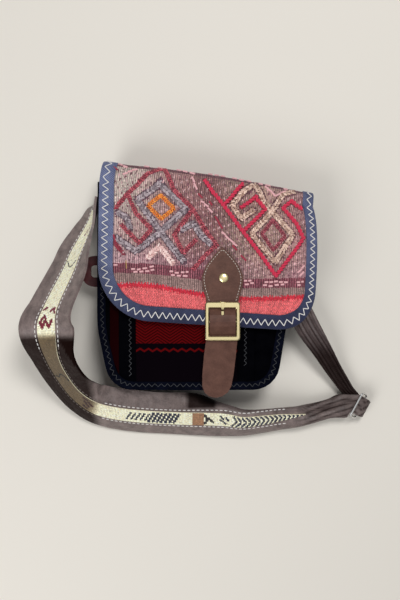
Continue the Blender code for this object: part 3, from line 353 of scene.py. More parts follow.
def denim(name, dark, pale, sheen=0.2, shine=0.3):
    """Denim from dark to pale by its flecks and its fading."""
    made, tree, inputs = blank(name, 0.9)
    weave = use(tree, TWILL, {"Place": place_in_mm(tree)})
    share = weave["Fleck"] * 0.9 + (weave["Fade"] - 0.35) * 1.1
    fill(inputs, {
        "Base Color": mix(limited(share), dark, pale), "Normal": weave["Normal"],
        "Sheen Weight": sheen, "Specular IOR Level": shine,
    })
    return made


def binding_denim_painted_shade(name):
    """Denim of the flap's binding, with painted light and shade: greyer and paler up the left side, dark
    along the bottom.
    """
    made, tree, inputs = blank(name, 0.92)
    weave = use(tree, TWILL, {"Place": place_in_mm(tree, "cloth"), "Pitch": 1.5})
    x, y, _ = parts(place_in_mm(tree))
    # painted light and shade: the binding is painted paler towards the top left and dark along the bottom
    up = limited((y + 42.0) / 70.0)
    aside = limited((x + 60.0) / 160.0)
    light = up * (1.0 - aside * 0.35)
    dark = mix(light, colour(7, 10, 31), colour(52, 61, 98))
    pale = mix(light, colour(42, 50, 90), colour(136, 145, 180))
    share = weave["Fleck"] * 1.3 + (weave["Fade"] - 0.4) * 0.8
    fill(inputs, {
        "Base Color": mix(limited(share), dark, pale), "Normal": weave["Normal"], "Sheen Weight": 0.1,
    })
    return made


def leather(name, dark, pale, roughness, crease=0.5, layer=None, painted=False, shine=0.4):
    """Leather from dark to pale. The tone painted on a piece, painted shade and real stains, darkens it
    towards near black and dulls its shine.
    """
    made, tree, inputs = blank(name, roughness)
    hide = use(tree, HIDE, {"Place": place_in_mm(tree, layer), "Crease": crease})
    base = mix(limited(hide["Tone"] * 0.6 + (hide["Wear"] - 0.3) * 1.2), dark, pale)
    if painted:
        # painted shade and stains: where the tone is low the colour goes towards near black and the shine
        # drops
        tone = painted_value(tree, "tone")
        base = mix(tone, colour(26, 15, 13), base)
        shine = tone * shine
    fill(inputs, {
        "Base Color": base, "Normal": hide["Normal"], "Specular IOR Level": shine,
        "Roughness": hide["Tone"] * 0.2 + (roughness - 0.1),
    })
    return made


def metal(name, base, roughness):
    """Metal with fine scratches that run along x."""
    made, tree, inputs = blank(name, roughness, 1.0)
    stretched = step(tree, "ShaderNodeMapping", {"Vector": place_in_mm(tree), "Scale": (1.0, 6.0, 1.0)})
    scratches = noise(stretched, 2.0, 4.0)
    fill(inputs, {
        "Base Color": base, "Roughness": scratches * 0.10 + (roughness - 0.05),
        "Normal": bump(scratches, 0.00001),
    })
    return made


def thread(name, base):
    made, tree, inputs = blank(name, 0.75)
    fibres = noise(place_in_mm(tree), 3.0, 3.0)
    fill(inputs, {"Base Color": shaded(base, fibres * 0.5 + 0.65), "Sheen Weight": 0.15})
    return made


def stroke_wool(name, dark, pale):
    """Wool of single strokes, each a little paler or darker by its own tint."""
    made, tree, inputs = blank(name, 0.9)
    fibres = noise(place_in_mm(tree), 2.2, 4.0)
    share = painted_value(tree, "tint") * 0.95 + fibres * 0.7
    fill(inputs, {
        "Base Color": mix(limited(share - 0.3), dark, pale), "Normal": bump(fibres, 0.0002),
        "Sheen Weight": 0.2,
    })
    return made


def zigzag_wave(x, period, height):
    """A value that runs up and down in straight lines along x."""
    return abs(calc("FRACT", x / period) - 0.5) * (2 * height)


def front_pattern_wool(name):
    """The front kilim: red herringbone, and below it a red zigzag line on nearly black, all darkened as
    painted shade under the flap.
    """
    made, tree, inputs = blank(name, 0.95)
    x, y, _ = parts(place_in_mm(tree))
    lines = calc("SINE", (y + zigzag_wave(x, 25.0, 8.0)) * (2 * math.pi / 3.0))
    upper = y > -62.0
    line = y + zigzag_wave(x, 8.5, 2.6)
    red = calc("MAXIMUM", (lines > -0.25) * upper, (line > -68.4) * (line < -66.2))
    # these colours and the red below are the kilim's own, darkened as painted shade under the flap
    ground = mix(upper, colour(9, 5, 9), colour(42, 4, 6))
    grain = noise(place_in_mm(tree), 1.3, 3.0)
    fill(inputs, {
        "Base Color": shaded(mix(red, ground, colour(84, 8, 10)), grain * 0.8 + 0.6),
        "Normal": bump(grain + lines, 0.0001), "Specular IOR Level": 0.0,
    })
    return made


# Meshes

def add_mesh(name, points, faces, finish, smooth=35):
    mesh = bpy.data.meshes.new(name)
    mesh.from_pydata([tuple(p) for p in points], [], faces)
    mesh.update()
    mesh.shade_smooth()
    mesh.set_sharp_from_angle(angle=math.radians(smooth))
    made = bpy.data.objects.new(name, mesh)
    mesh.materials.append(finish)
    bpy.context.scene.collection.objects.link(made)
    return made


def face_out(made):
    shape = bmesh.new()
    shape.from_mesh(made.data)
    bmesh.ops.recalc_face_normals(shape, faces=shape.faces)
    shape.to_mesh(made.data)
    shape.free()
    return made


def sleeve_faces(rows, count):
    """Faces between rows of points that each go once round."""
    faces = []
    for here in range(0, (rows - 1) * count, count):
        for i in range(count):
            j = (i + 1) % count
            faces.append((here + i, here + j, here + count + j, here + count + i))
    return faces


def loft(name, sections, maps, finish, smooth=35):
    """Joins loops of points; maps gives each point's place on the cloth, in metres."""
    count = len(sections[0])
    faces = sleeve_faces(len(sections), count)
    for start in (0, (len(sections) - 1) * count):
        for i in range(count // 2 - 1):
            faces.append((start + i, start + i + 1, start + count - 2 - i, start + count - 1 - i))
    made = add_mesh(name, [point for section in sections for point in section], faces, finish, smooth)
    lay_map(made, np.array([place for section in maps for place in section], np.float32))
    return face_out(made)


def run_along(points):
    """The length along a line of points up to each of them."""
    return np.concatenate([[0], np.cumsum(np.linalg.norm(np.diff(points, axis=0), axis=1))])


def lay_map(made, flat):
    """Stores each point's place on the cloth, in metres, as the map called cloth."""
    mesh = made.data
    layer = mesh.uv_layers.new(name="cloth")
    index = np.zeros(len(mesh.loops), np.int32)
    mesh.loops.foreach_get("vertex_index", index)
    layer.data.foreach_set("uv", flat[index].ravel())


def spline(rows, steps):
    """A smooth row of numbers through the given rows, with so many steps in each span."""
    made = []
    for i in range(len(rows) - 1):
        before = rows[max(i - 1, 0)]
        start = rows[i]
        end = rows[i + 1]
        after = rows[min(i + 2, len(rows) - 1)]
        for step in range(steps):
            t = step / steps
            made.append([
                0.5 * (2 * b + (c - a) * t + (2 * a - 5 * b + 4 * c - d) * t ** 2
                       + (3 * b - a - 3 * c + d) * t ** 3)
                for a, b, c, d in zip(before, start, end, after)
            ])
    made.append(list(rows[-1]))
    return made


# Flap surface, in its own terms: a across from its left edge, b down from the fold, h outwards

def mouth(x):
    return MOUTH_MIDDLE - MOUTH_SLANT * x / BODY_WIDTH


def front_height(x, y):
    side = x / (BODY_WIDTH / 2)
    end = y / (BODY_HEIGHT / 2)
    return BODY_DEPTH - DEPTH_SAG_SIDES * side ** 2 - DEPTH_SAG_ENDS * end ** 2


def flap_points(a, b, h):
    """Places on the flap for arrays of a, b and h."""
    step = 0.0005
    here = flap_surface(a, b)
    across = flap_surface(a + step, b) - flap_surface(a - step, b)
    down = flap_surface(a, b + step) - flap_surface(a, np.maximum(b - step, -FOLD_LENGTH))
    normal = np.cross(down, across)
    normal /= np.linalg.norm(normal, axis=-1, keepdims=True)
    return here + normal * h[..., None]


FOLD_LEFT = np.array((LEFT - FLAP_LEFT_LAP, mouth(LEFT)))
FOLD_RIGHT = np.array((RIGHT + FLAP_RIGHT_LAP, mouth(RIGHT)))
LOW_LEFT = FOLD_LEFT + np.array((-0.002, -FLAP_LEFT_DROP))
LOW_RIGHT = FOLD_RIGHT + np.array((0.0, -FLAP_RIGHT_DROP))


def edge_bend(a):
    """How far the flap has drawn in towards its right edge at a: 0 on the flat, 1 at the edge."""
    past = np.maximum(a - (FLAP_WIDTH - BINDING_WIDTH - EDGE_BEND), 0)
    bent = np.where(past < EDGE_BEND, past ** 2 / (2 * EDGE_BEND), past - EDGE_BEND / 2)
    return bent / (EDGE_BEND / 2 + BINDING_WIDTH)


def flap_surface(a, b):
    across = ((a - EDGE_SHORTENS * edge_bend(a)) / FLAP_SPAN)[..., None]
    fold = FOLD_LEFT + (FOLD_RIGHT - FOLD_LEFT) * across
    low = LOW_LEFT + (LOW_RIGHT - LOW_LEFT) * across
    down = np.maximum(b, 0) / FLAP_DROP
    bow = FLAP_BOW * across[..., 0] * np.sin(math.pi * np.minimum(down, 1.0) ** 0.6)
    plan = fold + (low - fold) * down[..., None] + np.stack([bow, np.zeros_like(bow)], axis=-1)
    top = front_height(plan[..., 0], plan[..., 1]) + FRONT_TRIM + SNAP_STACK
    along = (FOLD_RIGHT - FOLD_LEFT) / np.linalg.norm(FOLD_RIGHT - FOLD_LEFT)
    outward = np.array((-along[1], along[0]))
    turn = np.clip(-b / FOLD_LENGTH, 0, 1) * math.pi
    share = a / FLAP_WIDTH
    bulge = FOLD_BULGE_LEFT + (FOLD_BULGE_RIGHT - FOLD_BULGE_LEFT) * share
    bulge += FOLD_BULGE_MIDDLE * np.sin(math.pi * share)
    reach = plan + outward * (bulge * np.sin(turn + FOLD_EARLY * math.pi * np.sin(turn)))[..., None]
    height = (top + FLAP_ROOT) / 2 + (top - FLAP_ROOT) / 2 * np.cos(turn)
    return np.concatenate([reach, height[..., None]], axis=-1)


def corner_inset(b, radius, inset):
    """How far the flap's rounded corner pulls its edge in at b."""
    reach = radius - inset
    below = np.clip(b - (FLAP_DROP - radius), 0, reach)
    return inset + reach - np.sqrt(reach ** 2 - below ** 2)


def flap_span(b, inset):
    left = corner_inset(b, FLAP_LEFT_CORNER, inset)
    right = FLAP_WIDTH - corner_inset(b, FLAP_RIGHT_CORNER, inset)
    return left, right


# Colours of the flap, painted cell by cell from stripes, bands and outlines

def thick_line(places, line, width):
    """Marks the places that lie within half a width of a broken line."""
    marked = np.zeros(places.shape[:-1], bool)
    line = np.array(line) / 1000
    for start, end in zip(line, line[1:]):
        along = end - start
        share = np.clip(((places - start) @ along) / (along @ along), 0, 1)
        nearest = start + share[..., None] * along
        marked |= np.linalg.norm(places - nearest, axis=-1) < width / 2000
    return marked


# One unit of the woven pattern, in millimetres: a 213th of the flap's span, a 132nd of its drop
ACROSS = FLAP_SPAN * 1000 / 213
DOWN = FLAP_DROP * 1000 / 132


def hooks(centre, *paths):
    """Paths in units from a motif's middle, turned into millimetres on the flap."""
    return [[((centre[0] + a) * ACROSS, (centre[1] + b) * DOWN) for a, b in path] for path in paths]


def diamond(half_width, half_height, a=0.0, b=0.0):
    top = (a, b - half_height)
    return [top, (a + half_width, b), (a, b + half_height), (a - half_width, b), top]


LEFT_MOTIF = (61.0, 19.5)
RIGHT_MOTIF = (166.9, 34.9)
MAUVE = (146, 106, 110)
DARK_MAUVE = (96, 52, 62)
CORAL = (225, 108, 110)
DARK_CORAL = (204, 82, 86)
BRIGHT_RED = (190, 38, 56)
BRIGHT_EDGE = 4.4
FLAP_GAIN = 1.04
CORAL_RIBS = 0.2

EDGE_REACH = (FLAP_WIDTH - BINDING_WIDTH - GAP - YARN_WIDTH / 2) * 1000 / ACROSS - RIGHT_MOTIF[0]

# Routes of the raised bands and yarns, in units from the middle of their motif
CRIMSON_PATHS = hooks(
    RIGHT_MOTIF,
    [(-63.5, -43.2), (-51.4, -34.3), (-42.5, -21.5), (-26.7, -0.2), (-9.4, 21.3), (6.1, 41.8),
     (EDGE_REACH - 2, -0.7), (26.1, -14.9), (14.2, -30.1), (24.6, -37.9), (EDGE_REACH, -31.6)],
    [(-43.5, -26.1), (-33.3, -36.7), (-25.5, -44.6)],
    [(-26.4, -0.4), (-3.8, -26), (-11.3, -37.2), (-28, -24.2)],
)
BEIGE_PATHS = hooks(
    RIGHT_MOTIF,
    [(-6.8, 14.4), (-18.5, 1.2), (2.8, -24.5), (22, -3), (4.9, 27.6), (-6.8, 14.4)],
    [(2.8, -24.5), (-6.3, -38.8), (-14.1, -46.5), (-25, -38.5), (-36.8, -26.2), (-27.9, -13.3),
     (-15.3, -23.6)],
    [(2.3, -24), (16.2, -42.9), (26, -46.5)],
)
ROSE_PATHS = hooks(
    LEFT_MOTIF,
    [(-43.6, 4.6), (-31.9, -10.5), (-14.5, -27.5), (0.5, -34.5), (15, -16.9), (30.7, -2), (43.8, 19.4),
     (54, 31.9), (44.1, 42.2), (32, 57.9)],
    [(-32.7, -8.8), (-24.3, 8.8), (-9.3, 22.8), (-20.9, 37.4), (-38.3, 21.3)],
    [(31.2, -2), (12.9, 25.8), (22, 42.9), (33.6, 28.9)],
)
GREY_PATHS = hooks(
    LEFT_MOTIF,
    [(-11.7, 9.7), (-22.9, -4.8), (-0.4, -22.4), (24, -1.2), (-0.4, 24.2), (-11.7, 9.7)],
    [(0.3, 23.5), (-23.7, 45.8), (-43, 34.6)],
    [(-1.2, 23.4), (12.6, 40.2), (22.5, 51)],
)
GREY_WAVE = hooks(LEFT_MOTIF, [(20.2, 20), (31, 12.5), (39, 24), (48, 31)], [(-42, 10), (-33, 14), (-30, 24)])
ROSE_DIAMOND = hooks(RIGHT_MOTIF, diamond(11.2, 15.4, 3.0, -0.4))
ORANGE_DIAMOND = hooks(LEFT_MOTIF, diamond(12.6, 11.6))
PINK_CHEVRON = hooks(LEFT_MOTIF, [(-11.8, 50.4), (-0.9, 38.6), (12, 54)])
# Paths, their width in millimetres and their colour
SHADOWS_UNDER_BANDS = [
    (BEIGE_PATHS, 7.4, (98, 66, 68)), (GREY_PATHS, 7.6, (92, 68, 80)), (GREY_WAVE, 7.0, (92, 68, 80)),
    (ROSE_PATHS, 3.8, (112, 42, 56)), (CRIMSON_PATHS, 3.0, (120, 24, 44)),
    (ROSE_DIAMOND, 3.4, (116, 44, 58)), (ORANGE_DIAMOND, 3.4, (176, 92, 36)),
    (PINK_CHEVRON, 4.6, (196, 152, 150)), ([[(14, 55), (25, 68)]], 4.0, (128, 48, 62)),
]

# Heights b of the woven stripes' edges, in millimetres, at places a across the flap
ACROSS_STOPS = (15, 38, 61, 83, 104, 140, 159, 181, 206)
DASH_BAND_TOP = (78.2, 76.6, 75.8, 75.4, 77.5, 83.1, 81.0, 78.4, 75.2)
GREY_BAND_TOP = (87.8, 86.2, 85.6, 86.6, 87.8, 92.4, 90.6, 88.4, 85.9)
CORAL_TOP = (98.5, 94.8, 95.2, 97.9, 100.0, 100.9, 99.4, 97.0, 93.4)


def paint_ground(a, b):
    """Soft changes of the undyed and mauve wools over the flap."""
    stops = (0, 30, 70, 112, 130, 165, 205)
    red = np.interp(a, stops, (172, 170, 148, 126, 136, 158, 152))
    green = np.interp(a, stops, (144, 142, 114, 88, 108, 128, 116))
    blue = np.interp(a, stops, (142, 138, 112, 88, 102, 118, 116))
    low = np.clip((b - 56) / 16, 0, 1)
    patches = np.sin(a * 0.11 + b * 0.05) * np.sin(b * 0.13 - a * 0.04)
    high = np.clip((45 - b) / 30, 0, 1) * np.clip((70 - a) / 40, 0, 1)
    shades = np.stack([red + 12 * high, green - 5 * low + 24 * high, blue + 3 * low + 19 * high], axis=-1)
    return shades * (1 + 0.07 * patches)[..., None]


def paint_bands(colours, a, b, tops):
    """The dark fold, the dashed and grey bands, and the coral stripe with its bright red edge."""
    dash_top, grey_top, coral_top, jagged = tops
    colours[b < -11.5] = DARK_MAUVE
    colours[(b < -15.5) & (np.sin(a * 0.9) > 0.2)] = (150, 96, 104)
    band = (b > dash_top) & (b < grey_top)
    colours[band] = (138, 82, 92)
    colours[band & (np.mod(a, 2.5) < 1.25)] = (96, 44, 56)
    colours[(b >= grey_top) & (b < coral_top)] = (140, 112, 108)
    coral = b >= jagged
    rows, columns = a.shape
    knots = (np.arange(rows)[:, None] + np.arange(columns)) % 2 == 0
    colours[coral] = CORAL
    colours[coral & knots] = DARK_CORAL
    colours[coral & (b < jagged + BRIGHT_EDGE)] = BRIGHT_RED


def paint_streaks(colours, a, b, dash_top):
    """Pale and dark slanting flecks over the ground and the shadows under the raised bands."""
    streaks = np.sin(a * 0.9 + b * 0.62) * np.sin(b * 0.31 - a * 0.5)
    ground = (b < dash_top - 2) & (b > -10)
    colours[(streaks > 0.72) & ground] = (186, 150, 152)
    colours[(streaks < -0.76) & ground] = (112, 70, 82)


def paint_flap(places, rng):
    """One colour for each cell of the weave, and how deep its ribs are."""
    shape = places.shape[:-1]
    a = places[..., 0] * 1000
    b = places[..., 1] * 1000
    colours = paint_ground(a, b)
    dash_top = np.interp(a, ACROSS_STOPS, DASH_BAND_TOP)
    grey_top = np.interp(a, ACROSS_STOPS, GREY_BAND_TOP)
    coral_top = np.interp(a, ACROSS_STOPS, CORAL_TOP)
    jagged = coral_top + 0.7 * np.sign(np.sin(a * 2.1))
    paint_bands(colours, a, b, (dash_top, grey_top, coral_top, jagged))
    for paths, width, shade in SHADOWS_UNDER_BANDS:
        for path in paths:
            colours[thick_line(places, path, width)] = shade
    paint_streaks(colours, a, b, dash_top)
    columns = rng.normal(0.0, 0.05, (1, shape[1]))
    tint = rng.normal(1.0, 0.09, shape) + columns + rng.normal(0.0, 0.03, (shape[0], 1))
    colours *= np.clip(tint, 0.6, 1.4)[..., None]
    return np.clip(colours * FLAP_GAIN, 0, 255), np.where(b >= jagged, CORAL_RIBS, 1.0)


def linear(colours):
    share = colours / 255
    return np.where(share <= 0.04045, share / 12.92, ((share + 0.055) / 1.055) ** 2.4)


def paint_cells(made, cell_colours, rest, ribs=None):
    """Gives the first faces of a mesh one colour and rib strength each, all others a rest colour."""
    mesh = made.data
    layer = mesh.color_attributes.new("wool", "FLOAT_COLOR", "CORNER")
    values = np.ones((len(mesh.loops), 4), np.float32)
    values[:, :3] = linear(np.array(rest, float))
    starts = np.zeros(len(mesh.polygons), np.int32)
    mesh.polygons.foreach_get("loop_start", starts)
    flat = linear(cell_colours.reshape(-1, 3))
    for corner in range(4):
        values[starts[:len(flat)] + corner, :3] = flat
        if ribs is not None:
            values[starts[:len(flat)] + corner, 3] = ribs.ravel()
    layer.data.foreach_set("color", values.ravel())


CELL_A = 0.00122
CELL_B = 0.00100


def weave_places():
    """The corners of the weave's cells on the flat cloth, row by row."""
    inset = BINDING_LEG + GAP
    columns = round((FLAP_WIDTH - 2 * inset) / CELL_A)
    heights = np.append(np.arange(-FOLD_LENGTH, FLAP_DROP - inset, CELL_B), FLAP_DROP - inset)
    left, right = flap_span(heights, inset)
    a = left[:, None] + (right - left)[:, None] * np.linspace(0, 1, columns + 1)
    return a, np.repeat(heights[:, None], columns + 1, axis=1)


def weave_faces(rows, width):
    """One face for each cell, then the numbers of the points round the rim."""
    faces = []
    for row in range(rows - 1):
        for here in range(row * width, (row + 1) * width - 1):
            faces.append((here, here + width, here + width + 1, here + 1))
    rim = [row * width for row in range(rows)] + [(rows - 1) * width + c for c in range(1, width)]
    rim += [row * width + width - 1 for row in range(rows - 2, -1, -1)]
    return faces, rim + list(range(width - 2, 0, -1))


def make_flap_weave():
    """The flap's kilim: a puckered face of painted cells with a plain edge down to its back."""
    rng = np.random.default_rng(11)
    a, b = weave_places()
    pucker = np.sin(a * 410 + np.sin(b * 160) * 1.7) * np.sin(b * 330 + a * 90) * 0.00022
    points = flap_points(a, b, KILIM_TOP - 0.0001 + pucker).reshape(-1, 3)
    low = flap_points(a, b, np.full(a.shape, KILIM_LOW)).reshape(-1, 3)
    faces, rim = weave_faces(*a.shape)
    start = len(points)
    for k, i in enumerate(rim):
        j = (k + 1) % len(rim)
        faces.append((i, rim[j], start + j, start + k))
    cloth = wool("flap_wool", rib=2.05, contrast=0.85)
    made = add_mesh("flap_weave", np.concatenate([points, low[rim]]), faces, cloth)
    flat = np.stack([a, b], axis=-1).reshape(-1, 2)
    lay_map(made, np.concatenate([flat, flat[rim]]).astype(np.float32))
    cells = np.stack([(a[:-1, :-1] + a[1:, 1:]) / 2, (b[:-1, :-1] + b[1:, 1:]) / 2], axis=-1)
    colours, ribs = paint_flap(cells, rng)
    paint_cells(made, colours, MAUVE, ribs)
    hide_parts("flap_kilim")
    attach(made, "bag")


# Threads, yarns and strokes that grow along a path

def path_object(name, lines, ups=None):
    """A mesh of broken lines, as the path for threads; ups gives the way up at every point."""
    mesh = bpy.data.meshes.new(name)
    points = []
    edges = []
    for line in lines:
        start = len(points)
        points += [tuple(p) for p in line]
        edges += [(start + i, start + i + 1) for i in range(len(line) - 1)]
    mesh.from_pydata(points, edges, [])
    if ups is not None:
        layer = mesh.attributes.new("up", "FLOAT_VECTOR", "POINT")
        layer.data.foreach_set("vector", np.concatenate([np.array(u, np.float32) for u in ups]).ravel())
    made = bpy.data.objects.new(name, mesh)
    bpy.context.scene.collection.objects.link(made)
    return made


def line_group(name, **numbers):
    """A group that grows something along a broken line."""
    inputs = [("Geometry", "Geometry"), *((title, "Float", value) for title, value in numbers.items())]
    inputs.append(("Finish", "Material"))
    tree, given, result = new_group(name, "Geometry", inputs, [("Geometry", "Geometry")])
    line = step(tree, "GeometryNodeMeshToCurve", {"Mesh": given["Geometry"]})
    return tree, given, line, result


def finish_tree(given, result, geometry):
    """Makes one mesh of all copies and gives it its finish."""
    tree = geometry.tree
    realized = step(tree, "GeometryNodeRealizeInstances", {0: geometry})
    painted = step(tree, "GeometryNodeSetMaterial", {"Geometry": realized, "Material": given["Finish"]})
    fill(result, {0: painted})
    return tree


def evenly_spaced(line, given):
    values = {"Curve": line, "Length": given["Spacing"]}
    return step(line.tree, "GeometryNodeResampleCurve", values, mode="LENGTH")


def circle(tree, given):
    return step(tree, "GeometryNodeCurvePrimitiveCircle", {"Resolution": 8, "Radius": given["Radius"]})


def swept(line, profile):
    values = {"Curve": line, "Profile Curve": profile, "Fill Caps": True}
    return step(line.tree, "GeometryNodeCurveToMesh", values)


def thread_tree():
    """A round thread along the path."""
    tree, given, line, result = line_group("thread", Radius=0.0005, Spacing=0.0006)
    return finish_tree(given, result, swept(evenly_spaced(line, given), circle(tree, given)))


def yarn_tree():
    """Two plies twisted round each other along the path."""
    tree, given, line, result = line_group("yarn", Radius=0.0008, Apart=0.0007, Twist=900.0, Spacing=0.0006)
    run = step(tree, "GeometryNodeSplineParameter", out="Length")
    values = {"Curve": evenly_spaced(line, given), "Tilt": run * given["Twist"]}
    turned = step(tree, "GeometryNodeSetCurveTilt", values)
    both = add(tree, "GeometryNodeJoinGeometry")
    for side in (-1.0, 1.0):
        values = {"Geometry": circle(tree, given), "Translation": joined(tree, given["Apart"] * side)}
        fill(both.inputs, {0: step(tree, "GeometryNodeTransform", values)})
    return finish_tree(given, result, swept(turned, Value(tree, both.outputs[0])))


def points_along(line, given):
    """Evenly spaced points on the line, and its direction there."""
    points = add(line.tree, "GeometryNodeCurveToPoints", mode="LENGTH")
    fill(points.inputs, {"Curve": line, "Length": given["Spacing"]})
    found = named(line.tree, points.outputs)
    return found["Points"], found["Tangent"]


def bead(tree, rings, radius):
    values = {"Segments": 8, "Rings": rings, "Radius": radius}
    return step(tree, "GeometryNodeMeshUVSphere", values, "Mesh")


def copies(points, shape, turn, size):
    values = {"Points": points, "Instance": shape, "Rotation": turn, "Scale": size}
    return step(points.tree, "GeometryNodeInstanceOnPoints", values)


def stitch_tree():
    """A row of short stitches, evenly spaced along the path."""
    tree, given, line, result = line_group("stitches", Radius=0.0004, Length=0.0026, Spacing=0.0040)
    points, ahead = points_along(line, given)
    size = joined(tree, given["Radius"], given["Radius"], given["Length"] * 0.5)
    turn = step(tree, "FunctionNodeAlignRotationToVector", {"Vector": ahead}, axis="Z")
    return finish_tree(given, result, copies(points, bead(tree, 6, 1.0), turn, size))


def random_value(tree, low, high, seed):
    values = {2: low, 3: high, "Seed": seed}
    return step(tree, "FunctionNodeRandomValue", values, 1, data_type="FLOAT")


def strokes_to(way, seed, tree, given, line_parts, shape):
    """The strokes that lean to one side of the path, each with its own tint."""
    points, ahead, up, side = line_parts
    lean = given["Slant"] * random_value(tree, 0.75 * way, 1.25 * way, seed)
    heading = vector_calc("ADD", scaled(ahead, calc("COSINE", lean)), scaled(side, calc("SINE", lean)))
    shift = given["Aside"] * random_value(tree, 0.8 * way, 1.2 * way, seed + 1)
    values = {"Geometry": points, "Offset": scaled(side, shift)}
    aside = step(tree, "GeometryNodeSetPosition", values)
    turn = step(tree, "FunctionNodeAxesToRotation", {0: up, 1: heading}, primary_axis="Z", secondary_axis="X")
    length = given["Length"] * random_value(tree, 0.75, 1.2, seed + 2)
    width = given["Width"] * random_value(tree, 0.8, 1.25, seed + 3)
    made = copies(aside, shape, turn, joined(tree, length, width, given["Height"]))
    values = {"Geometry": made, "Name": "tint", "Value": random_value(tree, 0.0, 1.0, seed + 4)}
    return step(tree, "GeometryNodeStoreNamedAttribute", values, domain="INSTANCE", data_type="FLOAT")


def stroke_tree():
    """Short strokes of wool along the path, slanted to both sides like plaited stitches."""
    tree, given, line, result = line_group(
        "strokes", Length=0.0042, Width=0.0015, Height=0.0013, Slant=0.55, Aside=0.0013, Spacing=0.0016)
    points, ahead = points_along(line, given)
    up = step(tree, "GeometryNodeInputNamedAttribute", {"Name": "up"}, data_type="FLOAT_VECTOR")
    line_parts = (points, ahead, up, vector_calc("CROSS_PRODUCT", up, ahead))
    shape = bead(tree, 5, 0.5)
    both = add(tree, "GeometryNodeJoinGeometry")
    for way, seed in ((-1.0, 3), (1.0, 8)):
        fill(both.inputs, {0: strokes_to(way, seed, tree, given, line_parts, shape)})
    return finish_tree(given, result, Value(tree, both.outputs[0]))


THREAD = thread_tree()
YARN = yarn_tree()
STITCHES = stitch_tree()
STROKES = stroke_tree()


def grown(name, lines, tree, finish, ups=None, **numbers):
    """Runs a node tree over paths and keeps the result as a plain mesh."""
    path = path_object(name, lines, ups)
    modifier = path.modifiers.new("grow", "NODES")
    modifier.node_group = tree
    for item in tree.interface.items_tree:
        if item.in_out != "INPUT":
            continue
        if item.name in numbers:
            modifier[item.identifier] = numbers[item.name]
        elif item.name == "Finish":
            modifier[item.identifier] = finish
    graph = bpy.context.evaluated_depsgraph_get()
    mesh = bpy.data.meshes.new_from_object(path.evaluated_get(graph))
    path.modifiers.clear()
    path.data = mesh
    mesh.name = name
    mesh.shade_smooth()
    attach(path, "bag")
    return path


WHITE_THREAD = thread("white_thread", colour(234, 231, 228))


LINE_STEP = 0.001


def flap_line(path, height):
    """A broken line in (a, b) millimetres, laid on the flap in short steps."""
    line = [np.array(p, float) / 1000 for p in path]
    places = []
    for start, end in zip(line, line[1:]):
        pieces = max(1, math.ceil(np.linalg.norm(end - start) / LINE_STEP))
        places += [start + (end - start) * k / pieces for k in range(pieces)]
    places.append(line[-1])
    places = np.array(places)
    return flap_points(places[:, 0], places[:, 1], np.full(len(places), height))


def flap_ups(path):
    """The way up from the flap at each point of flap_line."""
    rise = 0.001
    return (flap_line(path, rise) - flap_line(path, 0.0)) / rise


# Raised bands: name, paths, node, slot, dark and pale wool, width
BANDS = [
    ("beige_bands", BEIGE_PATHS, "beige_lozenge", "beige_wool", (154, 116, 100), (248, 218, 200), 0.0058),
    ("grey_bands", GREY_PATHS + GREY_WAVE, "grey_lozenge", "grey_wool",
     (98, 84, 92), (196, 180, 186), 0.0062),
    ("rose_band", ROSE_DIAMOND, "rose_lozenge", "rose_wool", (126, 44, 60), (186, 94, 106), 0.0042),
    ("orange_band", ORANGE_DIAMOND, "orange_lozenge", "orange_wool",
     (214, 104, 32), (252, 166, 72), 0.0046),
    ("pink_band", PINK_CHEVRON, "pink_chevron", "pink_wool", (214, 168, 164), (252, 226, 220), 0.0064),
    ("rose_cords", ROSE_PATHS, "rose_hooks", "rose_wool", (120, 36, 52), (208, 98, 110), 0.0048),
]


def make_bands():
    """Raised bands of plaited wool strokes along the routes of the solids."""
    for name, paths, node, slot, dark, pale, width in BANDS:
        finish = stroke_wool(name + "_wool", colour(*dark), colour(*pale))
        lines = [flap_line(path, KILIM_TOP + 0.0003) for path in paths]
        ups = [flap_ups(path) for path in paths]
        made = grown(name, lines, STROKES, finish, ups, Length=width * 0.74, Width=width * 0.33,
                     Height=0.0016, Slant=0.85, Aside=width * 0.24, Spacing=0.0021)
        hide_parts(node)


def make_crimson_yarns():
    crimson = thread("crimson_wool", colour(222, 46, 84))
    lines = [flap_line(path, KILIM_TOP + 0.0013) for path in CRIMSON_PATHS]
    made = grown("crimson_yarns", lines, YARN, crimson, Radius=0.00135, Apart=0.0010, Twist=800.0)
    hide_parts("crimson_hooks")


